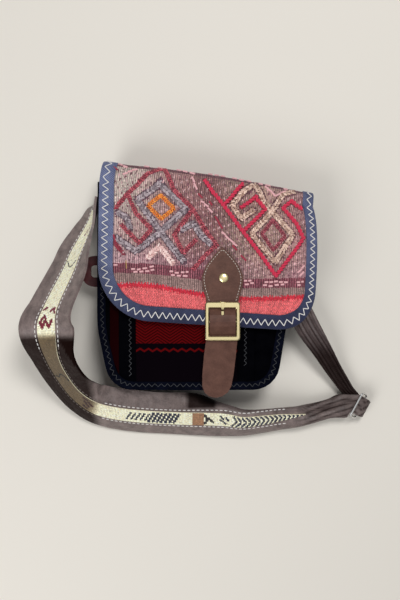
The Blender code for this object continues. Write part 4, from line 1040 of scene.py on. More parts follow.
# Floats from (a, b) to (a, b), in millimetres
PALE_DASHES = [
    (16.0, 80.1, 19.8, 79.8), (33.4, 82.6, 37.2, 82.2), (39.0, 82.8, 42.6, 81.8),
    (44.5, 81.2, 48.8, 80.3), (51.3, 79.2, 55.5, 77.9), (35.7, 85.2, 39.6, 84.7),
    (41.5, 84.6, 45.4, 83.8), (47.2, 83.6, 51.2, 83.0), (52.4, 82.2, 56.0, 81.2),
    (70.9, 81.6, 74.5, 81.4), (76.0, 82.6, 80.0, 82.3), (82.0, 81.6, 85.5, 81.3),
    (86.6, 80.8, 89.4, 80.6), (72.5, 85.0, 76.2, 85.0), (78.0, 85.3, 82.0, 85.0),
    (84.0, 84.9, 88.6, 84.8), (143.6, 84.6, 146.8, 84.2), (147.9, 84.2, 151.0, 83.6),
    (144.6, 88.2, 148.6, 87.7), (150.0, 86.4, 153.4, 86.0), (162.6, 87.4, 166.4, 86.9),
    (164.0, 84.2, 167.6, 83.6), (168.6, 83.8, 172.3, 83.0), (173.2, 82.6, 176.8, 82.0),
    (178.0, 82.8, 181.8, 82.2), (183.0, 82.4, 186.8, 82.0), (168.0, 87.8, 172.0, 87.4),
    (174.0, 86.2, 178.0, 85.6), (180.0, 85.2, 183.4, 84.6), (195.7, 81.2, 199.3, 80.8),
    (200.6, 80.4, 203.4, 79.8), (196.5, 84.2, 200.0, 83.7), (101.0, 8.9, 104.6, 9.9),
    (104.4, 11.0, 108.6, 13.6), (107.9, 14.9, 112.3, 19.0), (120.8, 37.3, 124.6, 40.0),
    (124.4, 40.6, 128.6, 44.4), (128.4, 44.0, 132.6, 47.0), (131.8, 47.4, 136.2, 50.0),
    (91.5, -9.5, 95.0, -5.6), (94.4, -5.2, 98.4, -1.5), (22.5, -5.6, 27.4, -7.0),
    (27.0, -7.8, 31.6, -8.8), (31.2, -9.6, 36.2, -10.8), (16.0, -15.6, 20.4, -13.8),
    (21.6, -13.0, 26.0, -11.6), (75.0, -16.4, 79.6, -15.6), (81.4, -15.2, 86.0, -14.4),
    (88.6, -14.0, 94.0, -12.8), (107.0, -18.0, 111.4, -17.6), (113.6, -17.6, 118.0, -17.4),
    (120.0, -17.4, 124.2, -16.8), (131.6, -16.2, 136.2, -15.6), (138.6, -15.2, 143.6, -14.6),
    (146.4, -15.6, 150.8, -14.6), (158.4, -13.9, 162.8, -13.7), (165.4, -13.8, 170.8, -13.6),
    (196.0, 71.3, 200.6, 66.8), (200.4, 66.2, 203.8, 62.8), (198.4, 74.6, 203.4, 69.4),
    (165.4, -11.6, 170.6, -8.2), (170.8, -8.6, 176.2, -4.6), (176.4, -4.8, 181.2, -7.4),
    (181.2, -8.0, 186.4, -10.4), (42.0, -16.4, 47.2, -15.4), (56.0, -16.2, 61.4, -14.6),
    (184.0, -13.4, 188.4, -13.0),
]
RED_DASHES = [
    (114.6, 22.4, 118.2, 28.0), (117.8, 28.4, 121.8, 34.0), (131.4, 49.8, 136.0, 54.2),
    (139.8, 59.0, 145.2, 64.0), (15.4, 26.0, 18.9, 24.7), (17.0, 61.0, 21.0, 65.6),
    (15.0, 51.0, 17.6, 58.4), (11.4, -11.2, 16.8, -8.4), (99.4, 1.4, 103.0, 5.6),
    (109.6, 8.0, 112.2, 11.6),
]


def make_brocade():
    """Short floats of pale and red wool that stand out from the ground weave."""
    height = KILIM_TOP + 0.0002
    plans = [("pale_floats", PALE_DASHES, (234, 180, 184)), ("red_floats", RED_DASHES, (158, 44, 66))]
    for name, dashes, shade in plans:
        lines = [flap_line([(a0, b0), (a1, b1)], height) for a0, b0, a1, b1 in dashes]
        finish = thread(name + "_wool", colour(*shade))
        made = grown(name, lines, THREAD, finish, Radius=0.00105, Spacing=0.0009)
    line = flap_line([(28.0, 74.6), (28.6, 82.6)], height)
    grown("yellow_thread", [line], THREAD, thread("yellow_cotton", colour(206, 168, 106)), Radius=0.0004)


# Binding of the flap and its zigzag stitches

# How far a quarter turn has moved in and on, from its start through its 24 steps
CORNER_TURNS = [(1 - math.cos(turn), math.sin(turn)) for turn in (math.pi / 2 * k / 24 for k in range(25))]


def flap_border(inset):
    """The flap's edge moved in by inset: down the left side, along the bottom, up the right."""
    left = FLAP_LEFT_CORNER - inset
    right = FLAP_RIGHT_CORNER - inset
    left_low = FLAP_DROP - FLAP_LEFT_CORNER
    right_low = FLAP_DROP - FLAP_RIGHT_CORNER
    far = FLAP_WIDTH - inset
    bottom = np.linspace(FLAP_LEFT_CORNER, FLAP_WIDTH - FLAP_RIGHT_CORNER, 40)[1:-1]
    path = [(inset, b) for b in np.linspace(-FOLD_LENGTH, left_low, 44)[:-1]]
    path += [(inset + left * pull, left_low + left * down) for pull, down in CORNER_TURNS]
    path += [(a, FLAP_DROP - inset) for a in bottom]
    path += [(far - right * pull, right_low + right * down) for pull, down in reversed(CORNER_TURNS)]
    path += [(far, b) for b in np.linspace(right_low, -FOLD_LENGTH, 44)[1:]]
    return np.array(path)


def binding_profile():
    """The folded tape's section: (inset, height) over the flap's face, round its edge and back."""
    width = BINDING_WIDTH
    top = BINDING_TOP
    low = -GAP - BINDING_LEG
    return [
        (0.0, top - 0.0012), (0.0003, top - 0.0004), (0.0012, top), (width * 0.35, top + 0.0001),
        (width * 0.7, top), (width - 0.0005, top - 0.0001), (width, top - 0.0006),
        (width, KILIM_TOP - 0.0002), (BINDING_LEG, KILIM_TOP - 0.0002), (BINDING_LEG, -GAP),
        (width, -GAP), (width, low), (0.0012, low), (0.0003, low + 0.0004), (0.0, low + 0.0012),
    ]


def binding_line(inset, height):
    """One line along the tape, slightly rippled where it lies on the flap's face."""
    path = flap_border(inset)
    rippled = height > KILIM_TOP and inset > 0.002
    ripple = np.sin(np.arange(len(path)) * 1.9) * 0.00012 if rippled else 0.0
    return flap_points(path[:, 0], path[:, 1], np.full(len(path), height) + ripple)


def make_binding():
    profile = binding_profile()
    grid = np.stack([binding_line(inset, height) for inset, height in profile], axis=1)
    rows, count = grid.shape[:2]
    faces = sleeve_faces(rows, count)
    for start in (0, (rows - 1) * count):
        faces.append(tuple(range(start, start + 9)))
        faces.append((start, start + 8, start + 9, start + 14))
        faces.append(tuple(range(start + 9, start + 15)))
    made = add_mesh("flap_edge", grid.reshape(-1, 3), faces, binding_denim_painted_shade("binding_denim"), 50)
    around = np.cumsum([0] + [math.dist(p, q) for p, q in zip(profile, profile[1:])])
    run = run_along(flap_border(BINDING_WIDTH / 2))
    lay_map(made, np.array([(r, s) for r in run for s in around], np.float32))
    face_out(made)
    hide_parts("flap_binding")
    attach(made, "bag")


ZIGZAG_INNER = 0.66
ZIGZAG_OUTER = 0.24
ZIGZAG_PITCH = 0.0072
ZIGZAG_STOPS_BEFORE = 0.012


def make_zigzag():
    """White zigzag stitching along the middle of the binding."""
    inner = flap_border(BINDING_WIDTH * ZIGZAG_INNER)
    outer = flap_border(BINDING_WIDTH * ZIGZAG_OUTER)
    run = run_along(inner)
    count = int((run[-1] - ZIGZAG_STOPS_BEFORE) / (ZIGZAG_PITCH / 2))
    corners = []
    for k in range(3, count + 1):
        side = inner if k % 2 else outer
        at = k * ZIGZAG_PITCH / 2
        corners.append((np.interp(at, run, side[:, 0]) * 1000, np.interp(at, run, side[:, 1]) * 1000))
    line = flap_line(corners, BINDING_TOP + 0.0003)
    grown("zigzag_stitches", [line], THREAD, WHITE_THREAD, Radius=0.00046, Spacing=0.0009)


# Straps, by stations like the solids'

def half_section(half, start, middle, edge, stops):
    """(stop, out, up, heading) along one side of a strap, from its middle to its edge."""
    knots = [(0, start), (0.27, start), (0.63, middle), (1, edge)]
    out = up = before = 0.0
    points = []
    for stop in stops:
        heading = np.interp(stop, [k[0] for k in knots], [k[1] for k in knots])
        if points:
            turn = math.radians((heading + points[-1][3]) / 2)
            out += (stop - before) * half * math.cos(turn)
            up += (stop - before) * half * math.sin(turn)
        points.append((stop, out, up, heading))
        before = stop
    return points


FINE = [k / 14 for k in range(15)]


def strap_line(origin, outward, upward, row, stops, crease=0.0):
    tilt, valley, outer_middle, outer_edge, inner_middle, inner_edge, half = row
    outer = half_section(half, valley - tilt, outer_middle, outer_edge, stops)
    inner = half_section(half, valley + tilt, inner_middle, inner_edge, stops)
    line = []
    for sign, side in ((-1, inner[:0:-1]), (1, outer)):
        for stop, out, up, heading in side:
            turn = math.radians(heading * sign if stop else -tilt)
            normal = upward * math.cos(turn) - outward * math.sin(turn)
            fold = crease * math.cos(2 * math.pi * stop * 2.4)
            line.append((origin + outward * (sign * out) + upward * up + normal * fold, normal))
    return line


def layer(line, low, high):
    face = [point + normal * high for point, normal in line]
    back = [point + normal * low for point, normal in reversed(line)]
    return face + back


def plan_headings(points):
    headings = []
    for i in range(len(points)):
        before = Vector(points[max(i - 1, 0)][:2])
        after = Vector(points[min(i + 1, len(points) - 1)][:2])
        headings.append((after - before).normalized())
    return headings


def ring_axes():
    """The rods' direction, the way the straps arrive, and up."""
    rod = Vector((-0.478, -0.878, 0)).normalized()
    return rod, Vector((-rod.y, rod.x, 0)), Vector((0, 0, 1))


def ring_rod(which):
    """Middle of the rod in both straps' bights (0) or of the free rod over the long strap (1)."""
    _, arrive, up = ring_axes()
    height = RING_LIFT + LONG_BIGHT + STRAP_THICKNESS / 2
    low_rod = Vector((RIGHT + RING_FROM_RIGHT, BOTTOM - RING_FROM_BOTTOM, height))
    lean = math.radians(RING_LEAN)
    return low_rod + (up * math.sin(lean) - arrive * math.cos(lean)) * (RING_REACH * which)


def long_strap_rows():
    """Stations of the long strap round the bag's left side and bottom: the stripe's middle
    (x, y, z), its tilt, how far the stripe is folded up, then the angles of the outer and
    inner side at mid band and edge, and the half width. Its outer side hangs less steeply
    round the lower left bend than the solid's, and it narrows more towards the ring."""
    half = STRAP_WIDTH / 2
    wall = LEFT - GAP - TRIM - GAP - STRAP_THICKNESS / 2
    floor = BOTTOM
    end = ring_rod(0.0)
    return [
        (wall - 0.0002, 0.088, 0.0225, 90, 0, -90, -90, 90, 90, 0.019),
        (wall - 0.0014, 0.078, 0.0250, 70, 18, -58, -58, 90, 90, 0.0205),
        (wall - 0.0050, 0.062, 0.0300, 61, 14, -44, -44, 82, 88, 0.0235),
        (wall - 0.0120, 0.045, 0.0370, 54, 10, -38, -34, 72, 76, 0.026),
        (wall - 0.0194, 0.028, 0.0455, 50, 4, -36, -30, 60, 62, 0.029),
        (wall - 0.0251, 0.010, 0.0570, 48, 0, -36, -30, 52, 52, half),
        (wall - 0.0385, -0.025, 0.0740, 40, 0, -32, -26, 44, 46, half),
        (wall - 0.0425, -0.047, 0.0790, 12, 0, -16, -22, 26, 32, half),
        (wall - 0.0390, -0.075, 0.0660, 38, 0, -32, -42, 40, 36, half),
        (wall - 0.0305, floor + 0.008, 0.0450, 45, 0, -40, -50, 42, 34, half),
        (wall - 0.0180, floor - 0.011, 0.0310, 45, 0, -46, -52, 30, 14, half),
        (wall + 0.0010, floor - 0.0235, 0.0255, 41, 0, -50, -56, 10, -6, half),
        (LEFT + 0.0305, floor - 0.0300, 0.0238, 40, 0, -50, -54, 6, -10, half),
        (LEFT + 0.0765, floor - 0.0330, 0.0234, 40, 0, -50, -54, 6, -10, half),
        (LEFT + 0.1245, floor - 0.0345, 0.0235, 38, 0, -46, -50, -74, -120, 0.0290),
        (RIGHT - 0.0475, floor - 0.0370, 0.0250, 40, 0, -50, -62, -110, -150, 0.0270),
        (RIGHT - 0.0260, floor - 0.0350, 0.0242, 38, 0, -48, -66, -150, -180, 0.0245),
        (RIGHT - 0.0035, floor - 0.0325, 0.0187, 30, 8, -40, -80, -150, -180, 0.0205),
        (end.x - 0.0560, end.y - 0.0065, 0.0110, 8, 44, -32, -120, -40, -140, 0.0158),
        (end.x - 0.0350, end.y - 0.0015, 0.0115, 0, 46, -30, -120, -30, -130, 0.0145),
        (end.x - 0.0190, end.y + 0.0020, 0.0136, 0, 12, -10, -24, -6, -14, 0.0125),
    ]


def bight_lines(centre, radius, half, length, lead, rod):
    """Cross-section lines of a strap's end, turned round a rod and led back underneath."""
    _, arrive, up = ring_axes()
    flat = (0, 0, 0, 0, 0, 0, half)
    lines = []
    for back in (lead, lead / 2):
        lines.append(strap_line(centre - arrive * back + up * radius, rod, up, flat, FINE))
    for k in range(13):
        turn = math.pi * k / 12
        away = up * math.cos(turn) + arrive * math.sin(turn)
        rounded = (*flat[:6], half * (1 - 0.16 * math.sin(turn) ** 2))
        lines.append(strap_line(centre + away * radius, rod, away, rounded, FINE))
    for back in (length / 2, length):
        lines.append(strap_line(centre - arrive * back - up * radius, rod, -up, flat, FINE))
    return lines


def widths(line):
    """Distance across the strap of each of its points from the middle."""
    steps = [0.0]
    for (one, _), (two, _) in zip(line, line[1:]):
        steps.append(steps[-1] + (two - one).length)
    middle = steps[len(steps) // 2]
    return [s - middle for s in steps]


def strap_solid(name, lines, thickness, finish):
    """A leather strap from its cross-section lines."""
    sections = []
    maps = []
    run = 0.0
    for i, line in enumerate(lines):
        middle = len(line) // 2
        if i:
            run += (line[middle][0] - lines[i - 1][middle][0]).length
        sections.append(layer(line, -thickness / 2, thickness / 2))
        across = widths(line)
        maps.append([(run, s) for s in across] + [(run, s) for s in reversed(across)])
    return loft(name, sections, maps, finish, smooth=50)


def strap_lines(rows, steps, stops, crease=0.0, mirror=False):
    rows = spline(rows, steps)
    up = Vector((0, 0, 1))
    lines = []
    for row, heading in zip(rows, plan_headings(rows)):
        outward = Vector((heading.y, -heading.x, 0))
        if mirror:
            outward = -outward
        lines.append(strap_line(Vector(row[:3]), outward, up, row[3:], stops, crease))
    return lines


STATION_STEPS = 10


def make_long_strap():
    hide = leather("strap_hide", colour(62, 52, 52), colour(146, 130, 126), 0.42, 1.4, "cloth", painted=True)
    rows = long_strap_rows()
    lines = strap_lines(rows, STATION_STEPS, FINE)
    make_stripe(rows)
    for name, first, last, finish in STITCHED_SPANS:
        make_strap_stitches(name, strap_lines(rows, STATION_STEPS, STITCH_STOPS)[first:last], finish)
    lines += bight_lines(ring_rod(0), LONG_BIGHT, STRAP_END_WIDTH / 2, 0.012, 0.009, ring_axes()[0])
    made = strap_solid("long_strap_hide", lines, STRAP_THICKNESS, hide)
    paint_tone(made, strap_stain_and_shade(points_of(made)))
    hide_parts("shoulder_strap")
    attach(made, "bag")


def smooth_step(value, low, high):
    share = np.clip((value - low) / (high - low), 0, 1)
    return share * share * (3 - 2 * share)


def lower_bend(places):
    """How far a place lies in the strap's lower left bend, where shade is painted, from 0 to 1."""
    x, y = places[:, 0], places[:, 1]
    return smooth_step(-y, 0.049, 0.057) * (1 - smooth_step(x, -0.110, -0.098))


# Tones of the long strap, from 0 for nearly black to 1 for clean leather: painted shade in the bend, beside
# the bag and in the gathered folds, and one real stain
OUTER_BEND_SHADE = 0.08
STAIN_TONE = 0.06
BESIDE_BAG_SHADE = 0.74


def gather_fold_shade(x, y):
    """Painted shade where the strap is gathered towards the ring: darker overall and darkest in lengthwise
    stripes, as in the valleys of folds.
    """
    gathered = smooth_step(x, 0.100, 0.125)
    folds = 0.5 + 0.5 * np.sin(((y + 0.128) * 0.94 - (x - 0.165) * 0.33) * 1150 + np.sin(x * 120) * 0.8)
    return 1 - gathered * (0.25 + 0.65 * folds ** 5)


def strap_stain_and_shade(places):
    """Painted shade round the lower left bend, darkest on its outer side, painted shade beside the bag and in
    the gathered folds, and the stain beside the closure's tail.
    """
    x, y = places[:, 0], places[:, 1]
    # painted shade: the outer side of the lower left bend falls nearly black
    outer = np.where(x < -0.135 + (-y - 0.05) * 0.55, OUTER_BEND_SHADE, 0.0)
    bend = 1 - (1 - outer) * lower_bend(places)
    stain = (x > -0.0085) & (x < 0.0205) & (y > -0.131)
    # painted shade on the strap's inner band where it lies beside the bag
    shade_beside_bag = np.where((x > -0.100) & (y > -0.136), BESIDE_BAG_SHADE, 1.0)
    return np.where(stain, STAIN_TONE, bend * gather_fold_shade(x, y) * shade_beside_bag)


def short_strap_shade(places, across):
    """Painted shade: dark lengthwise creases, and darker towards the ring."""
    y = places[:, 1]
    creases = 0.74 + 0.34 * np.sin(across * 1500 + np.sin(y * 90) * 1.2)
    return creases * (1 - 0.85 * smooth_step(-y, 0.045, 0.080))


def points_of(made):
    points = np.empty(len(made.data.vertices) * 3, np.float32)
    made.data.vertices.foreach_get("co", points)
    return points.reshape(-1, 3)


def across_strap(lines):
    """How far from the strap's middle each point of strap_solid lies, over its width."""
    rows = [widths(line) for line in lines]
    return np.array([row + row[::-1] for row in rows]).ravel()


def paint_tone(made, values):
    layer = made.data.attributes.new("tone", "FLOAT", "POINT")
    layer.data.foreach_set("value", values.astype(np.float32))


def make_short_strap():
    hide = leather("short_hide", colour(50, 41, 42), colour(116, 100, 98), 0.42, 1.2, "cloth", painted=True)
    half = SHORT_WIDTH / 2
    wall = RIGHT + GAP + SHORT_THICKNESS / 2 + CREASE
    rod, arrive, up = ring_axes()
    rod_middle = ring_rod(0) - rod * 0.0030
    lead = rod_middle - arrive * 0.007 + up * SHORT_BIGHT
    rows = [
        (wall + 0.0001, 0.074, 0.0222, 90, 0, -90, -90, 90, 90, half),
        (wall + 0.0002, 0.052, 0.0222, 90, 0, -90, -90, 90, 90, half),
        (wall + 0.0008, 0.028, 0.0222, 88, 0, -88, -86, 88, 88, half),
        (wall + 0.0036, 0.004, 0.0225, 74, 0, -66, -60, 74, 76, half),
        (wall + 0.0090, -0.020, 0.0235, 42, 0, -34, -28, 44, 46, half),
        (wall + 0.0165, -0.041, 0.0240, 18, 0, -12, -8, 20, 22, half),
        (wall + 0.0355, -0.071, 0.0190, 14, 0, -14, -22, 8, 4, 0.0108),
        (lead.x - 0.0230, lead.y + 0.0310, 0.0110, 12, 0, -18, -30, 4, -2, 0.0088),
        (lead.x - 0.0095, lead.y + 0.0110, lead.z - 0.0016, 4, 0, -6, -10, 0, -2, 0.0068),
    ]
    lines = strap_lines(rows, 8, FINE, CREASE * 1.8, mirror=True)
    lines += bight_lines(rod_middle, SHORT_BIGHT, SHORT_END_WIDTH / 2, 0.009, 0.005, -rod)
    made = strap_solid("short_strap_hide", lines, SHORT_THICKNESS, hide)
    paint_tone(made, short_strap_shade(points_of(made), across_strap(lines)))
    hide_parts("short_strap")
    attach(made, "bag")


STRIPE_CELL = 0.0011
STRIPE_STEPS = 60
STRIPE_STARTS = 70
STRIPE_ENDS = -130
STRIPE_STITCH = 0.40
FULL_WIDTH = 99.0
CREAM = (255, 248, 214)
STRIPE_RED = (118, 22, 46)
STRIPE_NAVY = (24, 26, 52)
STRIPE_BLACK = (26, 20, 24)


def evenly(lines, step):
    """Picks cross-section lines that lie about a step apart along the strap."""
    kept = [lines[0]]
    for line in lines:
        middle = len(line) // 2
        if (line[middle][0] - kept[-1][middle][0]).length >= step:
            kept.append(line)
    return kept


def slanted(run, count, spacing, lean=2.2, reach=5.0):
    """A row of slanted strokes over the stripe: (run, across) ends in millimetres."""
    return [[(run + k * spacing - lean, reach), (run + k * spacing + lean, -reach)] for k in range(count)]


def stripe_marks():
    """Woven marks of the stripe: where they start in plan, their strokes from there, width, colour."""
    saw = [(-3, 7), (0, 3), (3, 1), (1, -3), (-7, -7)]
    crossed = [[(-4, -6), (4, -3)], [(4, -3), (-2, 1)], [(-3, 1), (5, 4)], [(5, 4), (0, 7)],
               [(-6, 3), (-1, 6)]]
    steps = [(-1, 7), (2, 4), (-1, 0), (0, -3), (6, -6), (11, -7)]
    corner = [[(-5, -6), (0, -6)], [(-2, -2), (5, 2)], [(3, -4), (8, -1)], [(0, 5), (4, 6)]]
    chevrons = []
    for run in (k * 4.8 for k in range(17)):
        chevrons += [[(run - 2, -7), (run + 2, -1)], [(run + 2, 1), (run - 2, 7)]]
    return [
        ((-107.5, 52), [[(-5, -1), (5, 1)], [(-6, -5), (1, -4)]], 1.6, STRIPE_RED),
        ((-119, 16), [saw], 1.4, STRIPE_BLACK),
        ((-140, -27), [[(-2, -7), (2, -2)], [(2, -8), (-1, -5)], [(0, 4), (3, 7)]], 2.6, STRIPE_RED),
        ((-146, -39), crossed, 2.8, STRIPE_RED),
        ((-131, -92), [steps], 1.8, STRIPE_BLACK),
        ((-112, -123), corner, 2.8, STRIPE_RED),
        ((-69, -137), slanted(0, 5, 4.8), 2.2, STRIPE_NAVY),
        ((-45, -138), slanted(0, 7, 4.4, 2.6, 6.5), 3.0, STRIPE_NAVY),
        ((-3, -139), [[(0, 0), (13, 0)]], FULL_WIDTH, (160, 116, 82)),
        ((11, -139), [[(0, -7), (3, 0)], [(3, 0), (0, 7)], [(4, -2), (9, 4)]], 2.8, STRIPE_BLACK),
        ((27, -140), [[(0, -6), (4, -1)], [(1, 0), (7, 5)], [(6, -4), (9, 0)]], 2.4, STRIPE_NAVY),
        ((43, -140), chevrons, 2.4, STRIPE_NAVY),
    ]


def paint_stripe(runs, across, middles, rng):
    places = np.stack(np.broadcast_arrays(runs[:, None], across), axis=-1)
    colours = np.ones((*places.shape[:2], 3)) * CREAM
    for start, strokes, width, shade in stripe_marks():
        nearest = np.argmin(np.linalg.norm(middles[:, :2] - np.array(start) / 1000, axis=1))
        for stroke in strokes:
            line = [(run + runs[nearest] * 1000, side) for run, side in stroke]
            beside = (places[..., 0] * 1000 > line[0][0]) & (places[..., 0] * 1000 < line[-1][0])
            colours[beside if width == FULL_WIDTH else thick_line(places, line, width)] = shade
    shadow = 1 - np.array((0.60, 0.66, 0.73)) * lower_bend(middles)[:, None]
    colours *= shadow[:, None, :]
    colours *= np.clip(rng.normal(1.0, 0.07, colours.shape[:2]), 0.7, 1.2)[..., None]
    return np.clip(colours, 0, 255)


def stripe_lines(rows):
    """Cross-section lines of the stripe, which narrows where it runs into the gathered end."""
    stations = spline(rows, STRIPE_STEPS)[STRIPE_STARTS:STRIPE_ENDS]
    lines = []
    for row, heading in zip(stations, plan_headings(stations)):
        share = np.interp(row[0], (0.030, 0.075, 0.124), (0.31, 0.27, 0.09))
        stops = [share * k / 8 for k in range(9)]
        outward = Vector((heading.y, -heading.x, 0))
        lines.append(strap_line(Vector(row[:3]), outward, Vector((0, 0, 1)), row[3:], stops))
    return evenly(lines, STRIPE_CELL)


def make_stripe(rows):
    """The kilim stripe down the middle of the long strap, with its woven marks."""
    lines = stripe_lines(rows)
    rng = np.random.default_rng(5)
    low = STRAP_THICKNESS / 2 - 0.0001
    sections = [layer(line, low, low + STRIPE_HEIGHT) for line in lines]
    middles = np.array([line[len(line) // 2][0] for line in lines])
    runs = run_along(middles)
    across = np.array([widths(line) for line in lines])
    both = np.concatenate([across, across[:, ::-1]], axis=1)
    maps = [[(run, side) for side in row] for run, row in zip(runs, both)]
    cloth = wool("stripe_wool", rib=1.6, contrast=0.35)
    made = loft("stripe_weave", sections, maps, cloth)
    count = len(sections[0])
    centres = (across[:-1, :-1] + across[1:, 1:]) / 2
    cells = paint_stripe((runs[:-1] + runs[1:]) / 2, centres, (middles[:-1] + middles[1:]) / 2, rng)
    shown = np.ones((len(lines) - 1, count, 3)) * CREAM
    shown[:, :cells.shape[1]] = cells
    paint_cells(made, shown, CREAM)
    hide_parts("strap_kilim")
    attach(made, "bag")


STITCH_STOPS = [0.0, 0.1, 0.2, 0.3, STRIPE_STITCH]
# Stitched parts of the long strap: name, first and last cross-section, thread
STITCHED_SPANS = [
    ("strap_stitches_upper", 8, 77, WHITE_THREAD),
    # in the lower left bend the white thread is painted grey as shade
    ("strap_stitches_bend", 77, 112, thread("bend_thread_painted_shade", colour(112, 102, 96))),
    ("strap_stitches_lower", 112, -30, WHITE_THREAD),
]


def make_strap_stitches(name, lines, finish):
    """Running stitches on both sides of the stripe."""
    height = STRAP_THICKNESS / 2 + 0.0002
    edges = [[line[side] for line in lines] for side in (0, -1)]
    paths = [[point + normal * height for point, normal in edge] for edge in edges]
    grown(name, paths, STITCHES, finish, Radius=0.0005, Length=0.0034, Spacing=0.0047)


# Stitches on the solids

def fillet(corners, radii, steps=6):
    """Replaces each corner of an outline by an arc of its radius."""
    rounded = []
    count = len(corners)
    for i, radius in enumerate(radii):
        corner = Vector(corners[i])
        if radius == 0:
            rounded.append(tuple(corner))
            continue
        before = (Vector(corners[i - 1]) - corner).normalized()
        after = (Vector(corners[(i + 1) % count]) - corner).normalized()
        half = before.angle(after) / 2
        reach = radius / math.tan(half)
        centre = corner + (before + after).normalized() * (radius / math.sin(half))
        start = corner + before * reach - centre
        sweep = start.angle_signed(corner + after * reach - centre)
        for step in range(steps + 1):
            turn = Matrix.Rotation(-sweep * step / steps, 2)
            rounded.append(tuple(centre + turn @ start))
    return rounded


def body_outline(inset):
    """The body seen from the front, from the mouth's left end round the bottom to its right end."""
    corners = [
        (LEFT + inset, mouth(LEFT) - GAP),
        (LEFT + inset, BOTTOM + LEFT_TAPER_RISE),
        (LEFT + LEFT_TAPER + inset, BOTTOM + inset),
        (RIGHT - RIGHT_TAPER - inset, BOTTOM + inset),
        (RIGHT - inset, BOTTOM + RIGHT_TAPER_RISE),
        (RIGHT - inset, mouth(RIGHT) - GAP),
    ]
    corner = CORNER_RADIUS - inset
    return fillet(corners, [0, SHOULDER_RADIUS, corner, corner, SHOULDER_RADIUS, 0], 10)


def dropped(node, places, lift):
    """Points over a solid at each (x, y), a little above its highest face there."""
    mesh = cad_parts[node].data
    faces = [tuple(face.vertices) for face in mesh.polygons]
    tree = BVHTree.FromPolygons([point.co for point in mesh.vertices], faces)
    line = []
    for x, y in places:
        hit = tree.ray_cast(Vector((x, y, 0.3)), Vector((0, 0, -1)))[0]
        if hit:
            line.append(hit + Vector((0, 0, lift)))
    return line


def along_path(path, step):
    """Points a step apart along a flat path."""
    path = np.array(path)
    run = run_along(path)
    stops = np.arange(0, run[-1], step)
    return np.stack([np.interp(stops, run, path[:, 0]), np.interp(stops, run, path[:, 1])], axis=-1)


def zigzag_between(one, other):
    return [pair[k % 2] for k, pair in enumerate(zip(one, other))]


# Seams beside the front's kilim: node, x, top and low end
FRONT_SEAMS = [("front_band_left", -0.0653, -0.020, -0.098), ("front_band_right", 0.0515, -0.030, -0.0850)]


def make_front_zigzags():
    """Thin zigzag lines round the front's edge tape and beside its kilim, their white thread painted dark
    grey as shade under the flap.
    """
    # white thread painted dark grey as shade
    front_thread_in_shade = thread("front_thread_painted_shade", colour(52, 54, 58))
    outer = along_path(body_outline(0.0018), 0.0032)
    inner = [min(along_path(body_outline(0.0052), 0.0008), key=lambda p: math.dist(p, q)) for q in outer]
    paths = [dropped("front_binding", zigzag_between(outer, inner), 0.0003)]
    for node, x, top, low in FRONT_SEAMS:
        down = np.arange(top, low, -0.0026)
        sides = [(x + 0.0014 * (-1) ** k, y) for k, y in enumerate(down)]
        paths.append(dropped(node, sides, 0.0003))
    grown("front_stitches", paths, THREAD, front_thread_in_shade, Radius=0.00024, Spacing=0.0010)


STRAP_X = LEFT + 0.1255
# Stitches of the leaf: how far down from its point, and the half width there
LEAF_ROWS = [(0.0052, 0.0030), (0.0100, 0.0072), (0.0190, 0.0141), (0.0300, 0.0183), (0.0400, 0.0173),
             (0.0530, 0.0136)]


def make_leaf_stitches():
    """White running stitches inside the edge of the closure's leaf."""
    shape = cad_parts["closure_strap"].data
    top = max(point.co.y for point in shape.vertices)
    rows = spline(LEAF_ROWS, 5)
    left = [(STRAP_X - half, top - down) for down, half in reversed(rows)]
    right = [(STRAP_X + half, top - down) for down, half in rows]
    path = dropped("closure_strap", left + [(STRAP_X, top - 0.0030)] + right, 0.0001)
    finish = thread("leaf_thread", colour(216, 204, 194))
    grown("leaf_stitches", [path], STITCHES, finish, Radius=0.00032, Length=0.0020, Spacing=0.0029)


# Finishes of the solids that stay in view

def dress(node, finish):
    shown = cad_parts[node]
    shown.data.materials.clear()
    shown.data.materials.append(finish)


def dress_solids():
    # The front under the flap: its dark navy, black and red cloth, tape and red strip are darkened further as
    # painted shade from the flap
    front_cloth_in_shade = denim("front_denim", colour(2, 2, 4), colour(8, 8, 12), sheen=0.0, shine=0.0)
    navy = denim("side_denim", colour(20, 24, 42), colour(62, 70, 100))
    tape = denim("tape_denim", colour(3, 4, 9), colour(13, 16, 32), sheen=0.0, shine=0.02)
    red_wool = wool("front_red_wool", colour(26, 3, 5), contrast=0.2, layer=None, sheen=0.0)
    brown = leather("closure_hide", colour(64, 39, 32), colour(104, 72, 61), 0.5, 0.25, shine=0.2)
    brass = metal("brass_metal", colour(226, 211, 162), 0.26)
    steel = metal("steel_metal", colour(214, 214, 214), 0.25)
    maroon = leather("loop_hide", colour(44, 6, 10), colour(84, 18, 24), 0.5)
    lining = denim("lining_cotton", colour(90, 80, 70), colour(130, 118, 104))
    plans = [
        (navy, "back_panel", "gusset"), (tape, "front_binding", "back_binding"),
        (front_cloth_in_shade, "front_panel", "front_band_left", "front_band_right"),
        (lining, "lining", "flap_lining"), (red_wool, "front_red_strip"),
        (front_pattern_wool("front_pattern"), "front_kilim"), (brown, "closure_strap"),
        (brass, "stud", "buckle_frame", "buckle_prong"), (steel, "snap_male", "snap_female", "strap_ring"),
        (maroon, "side_loop"),
    ]
    for finish, *nodes in plans:
        for node in nodes:
            dress(node, finish)


# Light, floor and camera

# Round lamps that face the origin: name, place, size, watts
LAMPS = [("key", (0.35, 0.75, 1.50), 0.6, 14.8), ("fill", (-0.75, -0.85, 1.0), 1.0, 10.5)]
WORLD_LIGHT = 0.30
MIRRORED_LOW = 0.1
MIRRORED_RISE = 0.8
FLOOR_HALF = 3
CAMERA_PLACE = (0.0055, -0.018, 0.758)
LENS = 42
FILM_HEIGHT = 36


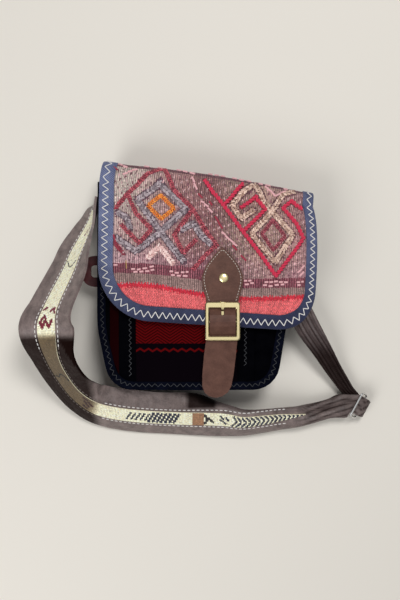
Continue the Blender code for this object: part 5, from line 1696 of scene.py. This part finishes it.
def link(made):
    bpy.context.scene.collection.objects.link(made)


def make_lamps():
    for name, place, size, power in LAMPS:
        lamp = bpy.data.lights.new(name, "AREA")
        lamp.shape = "DISK"
        lamp.size = size
        lamp.energy = power
        made = bpy.data.objects.new(name, lamp)
        made.location = place
        made.rotation_euler = (-Vector(place)).to_track_quat("-Z", "Y").to_euler()
        link(made)


def make_floor():
    side = FLOOR_HALF
    mesh = bpy.data.meshes.new("floor")
    corners = [(-side, -side, 0), (side, -side, 0), (side, side, 0), (-side, side, 0)]
    mesh.from_pydata(corners, [], [(0, 1, 2, 3)])
    floor = bpy.data.objects.new("floor", mesh)
    made, _, inputs = blank("floor_finish", 0.8)
    fill(inputs, {"Base Color": colour(224, 219, 210)})
    mesh.materials.append(made)
    link(floor)


def make_world():
    """A plain white room. What shines mirrors it brighter overhead than low down."""
    world = bpy.data.worlds.new("studio")
    world.use_nodes = True
    sky = world.node_tree
    rays = named(sky, add(sky, "ShaderNodeLightPath").outputs)
    glossy = rays["Is Glossy Ray"]
    _, _, height = parts(step(sky, "ShaderNodeTexCoord", out="Generated"))
    mirrored = glossy * (limited(height) ** 2.0 * MIRRORED_RISE + MIRRORED_LOW)
    seen = calc("MAXIMUM", rays["Is Camera Ray"], mirrored)
    plain = (1.0 - glossy) * WORLD_LIGHT
    background = sky.nodes["Background"].inputs
    fill(background, {"Color": (1, 1, 1, 1), "Strength": calc("MAXIMUM", seen, plain)})
    bpy.context.scene.world = world


def make_camera():
    lens = bpy.data.cameras.new("camera")
    lens.sensor_fit = "VERTICAL"
    lens.sensor_height = FILM_HEIGHT
    lens.lens = LENS
    camera = bpy.data.objects.new("camera", lens)
    camera.location = CAMERA_PLACE
    link(camera)
    bpy.context.scene.camera = camera
    bpy.context.scene.view_settings.view_transform = "Standard"


make_flap_weave()
make_bands()
make_crimson_yarns()
make_brocade()
make_binding()
make_zigzag()
make_long_strap()
make_short_strap()
make_front_zigzags()
make_leaf_stitches()
dress_solids()
make_floor()
make_world()
make_lamps()
make_camera()
